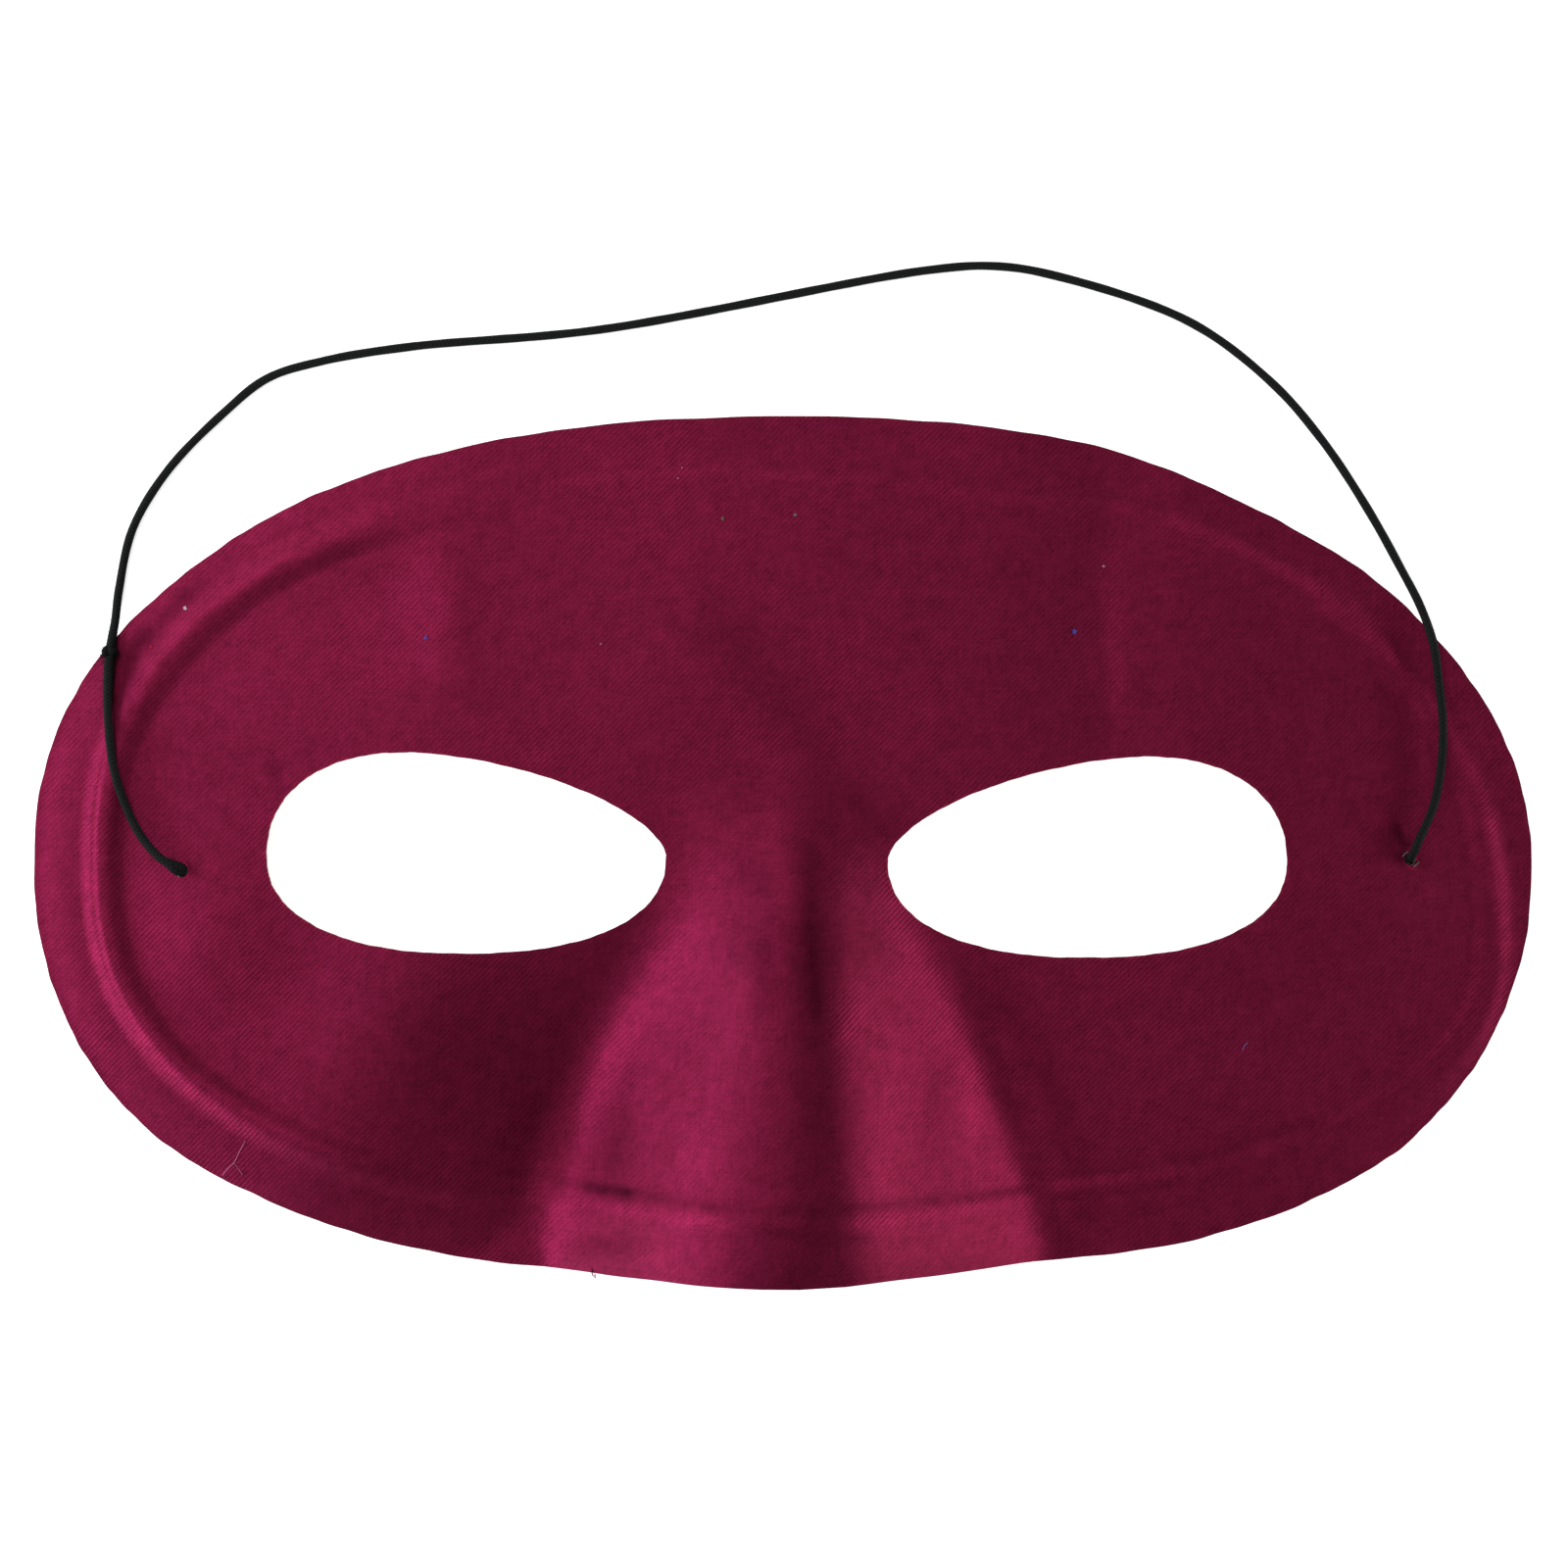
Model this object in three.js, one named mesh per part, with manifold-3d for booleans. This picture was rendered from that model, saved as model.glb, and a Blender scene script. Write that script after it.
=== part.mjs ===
// A fancy-dress half mask: sateen bonded to a stiff backing, pressed over a mould and die-cut as
// one shell, with a thin round elastic knotted behind a small hole near each end.
// The mask lies on its back, face up: X runs across it, Y up the forehead, Z out of the face.
// The origin is on the table, under the middle of the shell.

import * as THREE from "three";
import { mergeVertices } from "three/addons/utils/BufferGeometryUtils.js";
import Module from "manifold-3d";

const wasm = await Module();
wasm.setup();

// Each line round the mask is an oval of four quarters, and its strays say where it leaves that oval:
// the direction in degrees, how far out it goes there and over how many degrees.

// The cut edge
const CUT = {
  x: 0,
  y: -2.3,
  halfWidth: 100.1,
  top: 59.6,
  bottom: 54.8,
  fullness: { topRight: 2.06, topLeft: 2.23, bottomLeft: 2.46, bottomRight: 2.46 },
  strays: [
    { at: 26, out: 0.45, span: 5.5 },
    { at: 37, out: -0.15, span: 118 },
    { at: 51, out: 0.45, span: 8 },
    { at: 55, out: 0.8, span: 20 },
    { at: 155, out: -0.5, span: 8 },
    { at: 191, out: -0.5, span: 6.5 },
    { at: 205, out: 0.35, span: 5 },
    { at: 230, out: 0.7, span: 13 },
    { at: 251, out: -0.3, span: 8 },
    { at: 289, out: -0.7, span: 10 },
    { at: 301, out: -0.45, span: 5.5 },
    { at: 316, out: 0.2, span: 3.5 },
    { at: 327, out: 0.9, span: 11 },
    { at: 335, out: 0.45, span: 3.5 },
    { at: 349, out: -0.4, span: 5 },
  ],
};
const SHELL_THICKNESS = 1;

// The crest of the raised bead that runs round inside the edge. The bead is strong at the left end
// and faint elsewhere: its heights are listed anticlockwise from the right end, in even steps.
const BEAD = {
  x: 1.7,
  y: 0.2,
  halfWidth: 92.5,
  top: 48,
  bottom: 48,
  fullness: { topRight: 2.2, topLeft: 2.6, bottomLeft: 2.75, bottomRight: 3 },
  strays: [
    { at: 14, out: -2, span: 14 },
    { at: 46, out: 0.5, span: 6 },
    { at: 57, out: -1.6, span: 8 },
    { at: 76, out: -0.5, span: 10 },
    { at: 108, out: 0.5, span: 8 },
    { at: 162, out: -2, span: 12 },
    { at: 204, out: -1, span: 15 },
    { at: 290, out: 1.4, span: 15 },
    { at: 347, out: 1.9, span: 9 },
  ],
};
const BEAD_HALF_SPAN = 3.5;
const BEAD_HEIGHTS = [
  0.65, 0.5, 0.55, 0.4, 0.3, 0.2, 0.2, 0.1, 0.05, 0.2, 0.95, 0.9,
  1.1, 1.3, 1.25, 0.6, 0.15, 0.45, 0.5, 0.3, 0.22, 0.22, 0.3, 0.4,
];

// Heights of the shell's underside: the rim outside the bead rises by so much from the cut, listed as
// the bead is. Well inside the bead the rise is the mean of them all.
const FLANGE_RISES = [0.6, 0.3, 1.5, 0.9, 2.4, 2.2, 1.9, 0.6];
const RISE_EVEN_WITHIN = 0.9;
const FLANGE_POWER = 2.1;
const FIELD_CROWN = 1.1;
const FIELD_SHARPNESS = 4;
const TABLE_ROUND = 0.8;

// Both wings bend down to the table from the middle line of the moulded relief, which sits a little
// right of the cut, as the cutter was set down off centre
const RELIEF_X = 2.1;
const WING_RISE = 4.7;
const LEFT_WING = { flatFrom: 98, levelFrom: 43 };
const RIGHT_WING = { flatFrom: 98, levelFrom: 48 };

// The nose starts between the eyes, widens downwards and runs out through the lower edge.
// Its crest is rounded further on the left, and the left cheek falls deeper beside it.
const NOSE_START_Y = 14;
const NOSE_EASE = 21.5;
const NOSE_POWER = 0.72;
const NOSE_HEIGHT = 20;
const NOSE_FOOT_X = 1.6;
const NOSE_FOOT_Y = -3.4;
const NOSE_FOOT_HALF_WIDTH = 14.3;
const NOSE_FOOT_ROUND = 4.5;
const NOSE_SPREAD = 0.55;
const NOSE_SPREAD_EASE = 0.0027;
const NOSE_CREST_X = 2;
const NOSE_LEFT = { crestRound: 3.3, crestSpread: 0.35, cheekFall: 7.5, cheekSpan: 37 };
const NOSE_RIGHT = { crestRound: 6.9, crestSpread: 0.08, cheekFall: 3, cheekSpan: 11.5 };
const CHEEK_START_Y = -3.5;
const CHEEK_FULL_OVER = 27;
const CHEEK_ROUNDING = 0.4;

// The forehead: a soft swelling over each eye and a broad step down to the right temple
const BROWS = [
  { x: -15.6, y: 21.5 },
  { x: 17.1, y: 21.5 },
];
const BROW_HEIGHT = 0.6;
const BROW_SPAN = 12.5;
const FOREHEAD_STEP = { fromX: 27, width: 19, drop: 1.7, fromY: -5, over: 25 };

// Dents where the cloth and backing were squeezed unevenly. A swelling has a depth below zero.
const DENTS = [
  { x: -28, y: -39, depth: 1.5, spanX: 6.5, spanY: 7 },
  { x: 79.5, y: -6, depth: -1.2, spanX: 10.5, spanY: 12.5 },
  { x: -63.5, y: -15.5, depth: 0.95, spanX: 8, spanY: 12 },
  { x: -20, y: -30, depth: -0.65, spanX: 4, spanY: 10 },
  { x: 17, y: -41.5, depth: 0.5, spanX: 4.5, spanY: 9.5 },
  { x: -55, y: 31, depth: 0.9, spanX: 9, spanY: 9 },
  { x: -44.5, y: 31, depth: -0.5, spanX: 3.5, spanY: 8 },
  { x: -76.5, y: -11, depth: -0.95, spanX: 7.5, spanY: 10 },
];

// Eye holes: two almonds of one shape, turned to face each other, highest on their outer side
const EYE_MIDDLES = { left: [-42, -1.15], right: [40.35, -1.7] };
const EYE_HALF_LENGTH = 26.5;
const EYE_PEAK_OFFSET = 7.8;
const EYE_UPPER = 13.7;
const EYE_LOWER = 12.9;
const EYE_FULLNESS = { upperOuter: 2.23, upperInner: 1.64, lower: 2.3 };

// The two punched holes for the elastic
const CORD_HOLES = { left: [-79.95, -3.1], right: [83.4, -1.7] };
const CORD_HOLE_DIAMETER = 2;

// The elastic and its stopper knots
const CORD_DIAMETER = 1.15;
const CORD_SIDES = 8;
const CORD_STEPS_PER_POINT = 2;
const KNOT_DIAMETER = 2.4;
const KNOT_MIDDLE_Z = { left: 2.6, right: 1.55 };

// Mesh fineness
const SECTORS = 112;
const BEAD_ROWS = 5;
const BEAD_PART_OF_RIM = 0.75;
const FIELD_ROWS = 11;
const SPINE_HALF_LENGTH = 36;
const EYE_QUARTER_STEPS = 12;
const CUTTER_HEIGHT = 60;

// The cord's middle line, from behind the left hole, over the face, round above the mask and back
const TABLE_Z = 0.65;
const CORD_ROUTE = [
  [-79.95, -3.1, 4.15],
  [-80.15, -2.98, 5.2],
  [-80.7, -2.63, 6.05],
  [-81.5, -2.13, 6.5],
  [-82.65, -1.42, 6.4],
  [-85.3, 1.5, 5.35],
  [-87.5, 5.8, 4.85],
  [-88.8, 10, 5.2],
  [-89.45, 14, 4.95],
  [-89.9, 19.5, 3.65],
  [-89.7, 26.2, 2.35],
  [-89.2, 30.2, 1.1],
  [-88.7, 34.6, TABLE_Z],
  [-86.9, 42.5, TABLE_Z],
  [-82.2, 50.3, TABLE_Z],
  [-74.5, 58.2, TABLE_Z],
  [-68.9, 62.6, TABLE_Z],
  [-61.5, 64.9, TABLE_Z],
  [-49.9, 66.8, TABLE_Z],
  [-24.5, 69.1, TABLE_Z],
  [19, 77, TABLE_Z],
  [28, 77.6, TABLE_Z],
  [36, 76.4, TABLE_Z],
  [54.2, 70.2, TABLE_Z],
  [65.1, 62.2, TABLE_Z],
  [71.9, 54.5, TABLE_Z],
  [78.2, 45, TABLE_Z],
  [82.6, 37.1, TABLE_Z],
  [85.15, 32, 1.2],
  [86.7, 27.2, 2.2],
  [87.45, 22, 2.3],
  [87.95, 16.5, 2.6],
  [87.7, 11, 3.1],
  [86.7, 6, 4],
  [85.35, 2.7, 4.9],
  [84.6, 1.27, 5.4],
  [84.09, 0.02, 5.45],
  [83.73, -0.87, 5.02],
  [83.49, -1.48, 4.16],
  [83.4, -1.7, 3.1],
];

// Curve helpers
function smooth(t) {
  const c = THREE.MathUtils.clamp(t, 0, 1);
  return c * c * (3 - 2 * c);
}

function quadrant(fullness, x, y) {
  if (y >= 0) return x >= 0 ? fullness.topRight : fullness.topLeft;
  return x >= 0 ? fullness.bottomRight : fullness.bottomLeft;
}

function signedPower(value, power) {
  return Math.sign(value) * Math.abs(value) ** power;
}

function direction(line, x, y) {
  return THREE.MathUtils.radToDeg(Math.atan2(y - line.y, x - line.x));
}

// The turn from one direction to another, from -180 to 180 degrees
function turnBetween(from, to) {
  return THREE.MathUtils.euclideanModulo(to - from + 180, 360) - 180;
}

// How far a line strays outwards from its oval
function stray(line, x, y) {
  let farOut = 0;
  for (const { at, out, span } of line.strays) {
    const off = turnBetween(at, direction(line, x, y)) / span;
    farOut += out * Math.exp(-off * off);
  }
  return farOut;
}

// A point of the line at the turn t, which may run grow outside or inside it
function linePoint(line, t, grow = 0) {
  const c = Math.cos(t);
  const s = Math.sin(t);
  const n = quadrant(line.fullness, c, s);
  const halfHeight = s >= 0 ? line.top : line.bottom;
  const x = (line.halfWidth + grow) * signedPower(c, 2 / n);
  const y = (halfHeight + grow) * signedPower(s, 2 / n);
  const further = 1 + stray(line, line.x + x, line.y + y) / Math.hypot(x, y);
  return [line.x + x * further, line.y + y * further];
}

// 0 at the middle of the line's oval and 1 on the line itself
function lineLevel(line, x, y) {
  const dx = x - line.x;
  const dy = y - line.y;
  const n = quadrant(line.fullness, dx, dy);
  const halfHeight = dy >= 0 ? line.top : line.bottom;
  const level = (Math.abs(dx / line.halfWidth) ** n + Math.abs(dy / halfHeight) ** n) ** (1 / n);
  return level / (1 + (stray(line, x, y) * level) / Math.max(Math.hypot(dx, dy), 1e-6));
}

// Distance outwards from the line, good close to it
function lineDistance(line, x, y) {
  const h = 0.05;
  const slopeX = (lineLevel(line, x + h, y) - lineLevel(line, x - h, y)) / (2 * h);
  const slopeY = (lineLevel(line, x, y + h) - lineLevel(line, x, y - h)) / (2 * h);
  return (lineLevel(line, x, y) - 1) / Math.max(Math.hypot(slopeX, slopeY), 1e-6);
}

// Heights listed anticlockwise from the right end in even steps, each eased into the next
function roundTheBead(heights, x, y) {
  const step = 360 / heights.length;
  let height = 0;
  heights.forEach((listed, i) => {
    const off = Math.abs(turnBetween(i * step, direction(BEAD, x, y)));
    height += listed * (1 - smooth(off / step));
  });
  return height;
}

function noseHalfWidth(y) {
  const down = Math.max(NOSE_FOOT_Y - y, 0);
  return NOSE_FOOT_HALF_WIDTH + NOSE_SPREAD * down - NOSE_SPREAD_EASE * down * down;
}

// t where it is above 0, else 0, with the bend rounded that far to each side
function aboveZero(t, rounding) {
  return Math.max(t, 0) + Math.max(rounding - Math.abs(t), 0) ** 2 / (4 * rounding);
}

// A straight ramp from 0 at t = 0 that levels out to 1 over the last part before t = 1
function roundedRamp(t, part) {
  const at = THREE.MathUtils.clamp(t, 0, 1);
  const top = 1 - part / 2;
  return (at < 1 - part ? at : top - (1 - at) ** 2 / (2 * part)) / top;
}

// The nose's two flanks rise to its crest, and the cheeks fall to its foot
function noseAndCheeks(x, y) {
  const side = x < NOSE_CREST_X ? -1 : 1;
  const flank = side < 0 ? NOSE_LEFT : NOSE_RIGHT;
  const foot = noseHalfWidth(y);
  const inwards = foot + side * (NOSE_FOOT_X - x);
  const run = foot + side * (NOSE_FOOT_X - NOSE_CREST_X);
  const crestRound = flank.crestRound + flank.crestSpread * Math.max(NOSE_FOOT_Y - y, 0);
  const rise = roundedRamp(aboveZero(inwards, NOSE_FOOT_ROUND) / run, crestRound / run);
  const outwards = aboveZero(-inwards, NOSE_FOOT_ROUND);
  const regained = roundedRamp(outwards / flank.cheekSpan, CHEEK_ROUNDING);
  const fall = flank.cheekFall * smooth((CHEEK_START_Y - y) / CHEEK_FULL_OVER);
  const along = Math.max(NOSE_START_Y - y, 0) / (NOSE_START_Y - CUT.y + CUT.bottom);
  const height = NOSE_HEIGHT * along ** NOSE_POWER * smooth((NOSE_START_Y - y) / NOSE_EASE);
  return height * rise - fall * (1 - rise - regained);
}

function browSwelling(x, y) {
  let height = 0;
  for (const brow of BROWS) {
    const off = Math.hypot(x - brow.x, y - brow.y) / BROW_SPAN;
    height += BROW_HEIGHT * Math.exp(-off * off);
  }
  return height;
}

// The shell bends down from its middle to both ends, which rest on the table
function wings(x) {
  const across = Math.abs(x - RELIEF_X);
  const bend = x < RELIEF_X ? LEFT_WING : RIGHT_WING;
  return WING_RISE * smooth((bend.flatFrom - across) / (bend.flatFrom - bend.levelFrom));
}

function dentDepth(x, y) {
  let depth = 0;
  for (const dent of DENTS) {
    const [offX, offY] = [(x - dent.x) / dent.spanX, (y - dent.y) / dent.spanY];
    depth += dent.depth * Math.exp(-offX * offX - offY * offY);
  }
  return depth;
}

// A rounded rib: 1 on its crest and 0 from halfSpan away
function rib(away, halfSpan) {
  return Math.cos((Math.min(Math.abs(away) / halfSpan, 1) * Math.PI) / 2) ** 2;
}

// Height of the shell's underside above the table
function underside(x, y) {
  const level = lineLevel(BEAD, x, y);
  const toBead = Math.max(level - 1, 0);
  const toCut = Math.max(1 - lineLevel(CUT, x, y), 0);
  const outwards = toBead / Math.max(toBead + toCut, 1e-9);
  const meanRise = FLANGE_RISES.reduce((sum, rise) => sum + rise, 0) / FLANGE_RISES.length;
  const rise = THREE.MathUtils.lerp(
    meanRise,
    roundTheBead(FLANGE_RISES, x, y),
    smooth(level / RISE_EVEN_WITHIN),
  );
  let height = wings(x) + rise * (1 - outwards ** FLANGE_POWER);
  height += FIELD_CROWN * (1 - Math.min(level, 1) ** FIELD_SHARPNESS);
  height += roundTheBead(BEAD_HEIGHTS, x, y) * rib(lineDistance(BEAD, x, y), BEAD_HALF_SPAN);
  height += noseAndCheeks(x, y) + browSwelling(x, y) - dentDepth(x, y);
  const step = FOREHEAD_STEP;
  height -= step.drop * smooth((y - step.fromY) / step.over) * smooth((x - step.fromX) / step.width);
  return aboveZero(height, TABLE_ROUND);
}

// Solids
function toManifold(geometry) {
  const bare = geometry.clone();
  bare.deleteAttribute("normal");
  bare.deleteAttribute("uv");
  const merged = mergeVertices(bare, 1e-4);
  return new wasm.Manifold(
    new wasm.Mesh({
      numProp: 3,
      vertProperties: new Float32Array(merged.attributes.position.array),
      triVerts: new Uint32Array(merged.index.array),
    }),
  );
}

function toGeometry(solid) {
  const mesh = solid.getMesh();
  const geometry = new THREE.BufferGeometry();
  geometry.setAttribute("position", new THREE.BufferAttribute(mesh.vertProperties, 3));
  geometry.setIndex(new THREE.BufferAttribute(mesh.triVerts, 1));
  geometry.computeVertexNormals();
  return geometry;
}

// A point of the blank, whose rows run inwards: the cut edge, the rows across the bead, then the
// field to its spine between the eyes. Where the rim is narrow the rows across the bead keep off the cut.
function blankPoint(row, t) {
  const [crestX, crestY] = linePoint(BEAD, t);
  const level = lineLevel(CUT, crestX, crestY);
  const cutX = CUT.x + (crestX - CUT.x) / level;
  const cutY = CUT.y + (crestY - CUT.y) / level;
  if (row === 0) return [cutX, cutY];
  if (row <= BEAD_ROWS) {
    const rim = Math.hypot(cutX - crestX, cutY - crestY);
    const outerSpan = Math.min(BEAD_HALF_SPAN, BEAD_PART_OF_RIM * rim);
    const across = (row - 1) / (BEAD_ROWS - 1);
    return linePoint(BEAD, t, THREE.MathUtils.lerp(outerSpan, -BEAD_HALF_SPAN, across));
  }
  const inwards = (row - BEAD_ROWS) / FIELD_ROWS;
  const [x, y] = linePoint(BEAD, t, -BEAD_HALF_SPAN);
  const spineX = RELIEF_X + SPINE_HALF_LENGTH * Math.cos(t);
  return [THREE.MathUtils.lerp(x, spineX, inwards), y * (1 - inwards)];
}

// The pressed blank before its holes are cut: the face, the underside and the cut edge between them
function blankGeometry() {
  const rows = 1 + BEAD_ROWS + FIELD_ROWS;
  const positions = [];
  for (const lift of [SHELL_THICKNESS, 0]) {
    for (let row = 0; row < rows; row++) {
      for (let i = 0; i < SECTORS; i++) {
        const [x, y] = blankPoint(row, (i / SECTORS) * 2 * Math.PI);
        positions.push(x, y, underside(x, y) + lift);
      }
    }
  }
  const index = [];
  const at = (side, row, i) => (side * rows + row) * SECTORS + (i % SECTORS);
  for (let i = 0; i < SECTORS; i++) {
    for (let row = 0; row < rows - 1; row++) {
      const face = [at(0, row, i), at(0, row, i + 1), at(0, row + 1, i + 1), at(0, row + 1, i)];
      const back = [at(1, row, i), at(1, row, i + 1), at(1, row + 1, i + 1), at(1, row + 1, i)];
      index.push(face[0], face[1], face[2], face[0], face[2], face[3]);
      index.push(back[0], back[2], back[1], back[0], back[3], back[2]);
    }
    index.push(at(0, 0, i), at(1, 0, i), at(1, 0, i + 1));
    index.push(at(0, 0, i), at(1, 0, i + 1), at(0, 0, i + 1));
  }
  const geometry = new THREE.BufferGeometry();
  geometry.setAttribute("position", new THREE.Float32BufferAttribute(positions, 3));
  geometry.setIndex(index);
  return geometry;
}

// One quarter of the almond, from its end at turn 0 to its peak at a right angle
function almondPoint(t) {
  const c = Math.cos(t);
  const s = Math.sin(t);
  if (s < 0) {
    const n = EYE_FULLNESS.lower;
    return [EYE_HALF_LENGTH * signedPower(c, 2 / n), EYE_LOWER * signedPower(s, 2 / n)];
  }
  const outer = c >= 0;
  const n = outer ? EYE_FULLNESS.upperOuter : EYE_FULLNESS.upperInner;
  const reach = outer ? EYE_HALF_LENGTH - EYE_PEAK_OFFSET : EYE_HALF_LENGTH + EYE_PEAK_OFFSET;
  return [EYE_PEAK_OFFSET + reach * signedPower(c, 2 / n), EYE_UPPER * signedPower(s, 2 / n)];
}

function eyeCutter([middleX, middleY]) {
  const side = Math.sign(middleX);
  const points = [];
  for (let i = 0; i < 4 * EYE_QUARTER_STEPS; i++) {
    const [x, y] = almondPoint((i / (4 * EYE_QUARTER_STEPS)) * 2 * Math.PI);
    points.push(new THREE.Vector2(middleX + side * x, middleY + y));
  }
  return new THREE.ExtrudeGeometry(new THREE.Shape(points), {
    depth: CUTTER_HEIGHT,
    bevelEnabled: false,
  }).translate(0, 0, -CUTTER_HEIGHT / 4);
}

function holeCutter([x, y]) {
  const radius = CORD_HOLE_DIAMETER / 2;
  return new THREE.CylinderGeometry(radius, radius, CUTTER_HEIGHT, 16)
    .rotateX(Math.PI / 2)
    .translate(x, y, CUTTER_HEIGHT / 4);
}

function shellGeometry() {
  let shell = toManifold(blankGeometry());
  for (const middle of Object.values(EYE_MIDDLES)) shell = shell.subtract(toManifold(eyeCutter(middle)));
  for (const hole of Object.values(CORD_HOLES)) shell = shell.subtract(toManifold(holeCutter(hole)));
  return toGeometry(shell);
}

// The cord's steps follow its points, which lie closer where it turns into a hole
class CordCurve extends THREE.CatmullRomCurve3 {
  getUtoTmapping(u) {
    return u;
  }
}

function cordGeometry() {
  const route = new CordCurve(
    CORD_ROUTE.map(([x, y, z]) => new THREE.Vector3(x, y, z)),
    false,
    "centripetal",
  );
  const section = new THREE.Shape(
    Array.from({ length: CORD_SIDES }, (_, i) => {
      const turn = (i / CORD_SIDES) * 2 * Math.PI;
      return new THREE.Vector2(Math.cos(turn), Math.sin(turn)).multiplyScalar(CORD_DIAMETER / 2);
    }),
  );
  return new THREE.ExtrudeGeometry(section, {
    steps: CORD_STEPS_PER_POINT * (CORD_ROUTE.length - 1),
    bevelEnabled: false,
    extrudePath: route,
  });
}

function knotGeometry([x, y], middleZ) {
  return new THREE.SphereGeometry(KNOT_DIAMETER / 2, 12, 8)
    .rotateX(Math.PI / 2)
    .translate(x, y, middleZ);
}

function mesh(name, geometry, material) {
  const made = new THREE.Mesh(geometry, material);
  made.name = name;
  return made;
}

const sateen = new THREE.MeshStandardMaterial({ color: 0x6e1733, roughness: 0.5, metalness: 0 });
const elastic = new THREE.MeshStandardMaterial({ color: 0x141614, roughness: 0.8, metalness: 0 });

const mask = new THREE.Group();
mask.add(mesh("mask_shell", shellGeometry(), sateen));
mask.add(mesh("elastic_cord", cordGeometry(), elastic));
for (const [side, hole] of Object.entries(CORD_HOLES)) {
  mask.add(mesh(`cord_knot_${side}`, knotGeometry(hole, KNOT_MIDDLE_Z[side]), elastic));
}

export default mask;
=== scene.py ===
import bpy
import math
import random
import numpy as np
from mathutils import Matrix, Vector


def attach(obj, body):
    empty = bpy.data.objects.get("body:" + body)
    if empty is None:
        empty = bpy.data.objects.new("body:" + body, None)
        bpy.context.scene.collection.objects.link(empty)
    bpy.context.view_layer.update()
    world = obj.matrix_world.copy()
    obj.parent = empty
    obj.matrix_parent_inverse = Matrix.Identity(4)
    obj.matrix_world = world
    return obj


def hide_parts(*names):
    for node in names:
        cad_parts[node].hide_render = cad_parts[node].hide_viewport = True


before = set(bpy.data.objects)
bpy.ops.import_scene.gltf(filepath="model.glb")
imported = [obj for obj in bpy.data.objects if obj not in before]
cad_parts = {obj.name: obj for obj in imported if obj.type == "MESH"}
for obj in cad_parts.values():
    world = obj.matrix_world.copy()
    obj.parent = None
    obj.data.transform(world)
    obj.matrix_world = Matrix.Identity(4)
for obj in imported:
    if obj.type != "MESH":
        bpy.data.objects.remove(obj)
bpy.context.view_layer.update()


# The camera looks straight down on the mask, which lies on its back with its face up.
# Its height is a guess that fits how far the raised nose leans out over the lower edge.
# Sizes here are in millimetres, which MM turns into metres.
MM = 0.001
CAMERA_OVER = (0.13, 8.38)
CAMERA_HEIGHT = 751
FRAME_WIDTH = 209.44
FACE_LEVEL = 1
SENSOR_WIDTH = 36

bpy.ops.object.camera_add(
    location=(CAMERA_OVER[0] * MM, CAMERA_OVER[1] * MM, CAMERA_HEIGHT * MM),
    rotation=(0, 0, 0),
)
camera = bpy.context.object
camera.name = "overhead_camera"
camera.data.sensor_width = SENSOR_WIDTH
camera.data.lens = SENSOR_WIDTH * (CAMERA_HEIGHT - FACE_LEVEL) / FRAME_WIDTH
camera.data.dof.use_dof = False
bpy.context.scene.camera = camera


# The elastic: a round hat elastic of black rayon braided over rubber. It comes up through
# the left hole, lies over the edge, loops on the table above the mask and goes down through
# the right hole, swollen a little at the left hole and where it is frayed at the left edge.
CORD_DIAMETER = 1.15
TABLE_Z = 0.65
CORD_ROUTE = [
    (-79.95, -3.1, 4.15),
    (-80.15, -2.98, 5.2),
    (-80.7, -2.63, 6.05),
    (-81.5, -2.13, 6.5),
    (-82.65, -1.42, 6.4),
    (-85.3, 1.5, 5.35),
    (-87.5, 5.8, 4.85),
    (-88.8, 10, 5.2),
    (-89.45, 14, 4.95),
    (-89.9, 19.5, 3.65),
    (-89.7, 26.2, 2.35),
    (-89.2, 30.2, 1.1),
    (-88.7, 34.6, TABLE_Z),
    (-86.9, 42.5, TABLE_Z),
    (-82.2, 50.3, TABLE_Z),
    (-74.5, 58.2, TABLE_Z),
    (-68.9, 62.6, TABLE_Z),
    (-61.5, 64.9, TABLE_Z),
    (-49.9, 66.8, TABLE_Z),
    (-24.5, 69.1, TABLE_Z),
    (19, 77, TABLE_Z),
    (28, 77.6, TABLE_Z),
    (36, 76.4, TABLE_Z),
    (54.2, 70.2, TABLE_Z),
    (65.1, 62.2, TABLE_Z),
    (71.9, 54.5, TABLE_Z),
    (78.2, 45, TABLE_Z),
    (82.6, 37.1, TABLE_Z),
    (85.15, 32, 1.2),
    (86.7, 27.2, 2.2),
    (87.45, 22, 2.3),
    (87.95, 16.5, 2.6),
    (87.7, 11, 3.1),
    (86.7, 6, 4),
    (85.35, 2.7, 4.9),
    (84.6, 1.27, 5.4),
    (84.09, 0.02, 5.45),
    (83.73, -0.87, 5.02),
    (83.49, -1.48, 4.16),
    (83.4, -1.7, 3.1),
]
CORD_STEP = 0.3
CORD_BEVEL_RESOLUTION = 6

# Where along the cord it is swollen, and how its thickness wavers: rate, share and phase
CLUB = {"at": 1.3, "half_length": 2, "swell": 0.6}
FRAYED = {"at": 28.5, "half_length": 5.5, "swell": 0.24}
CORD_WAVER = [(1.03, 0.02, 0), (0.38, 0.015, 1)]
BRAID_PITCH = 0.55
BRAID_YARNS = 8
BRAID_RELIEF = 0.08
YARN_DARK = (0.0035, 0.004, 0.0038, 1)
YARN_LIGHT = (0.013, 0.014, 0.0135, 1)
BRAID_SHARE = 0.6
DUST_SCALE = 900.0


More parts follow.
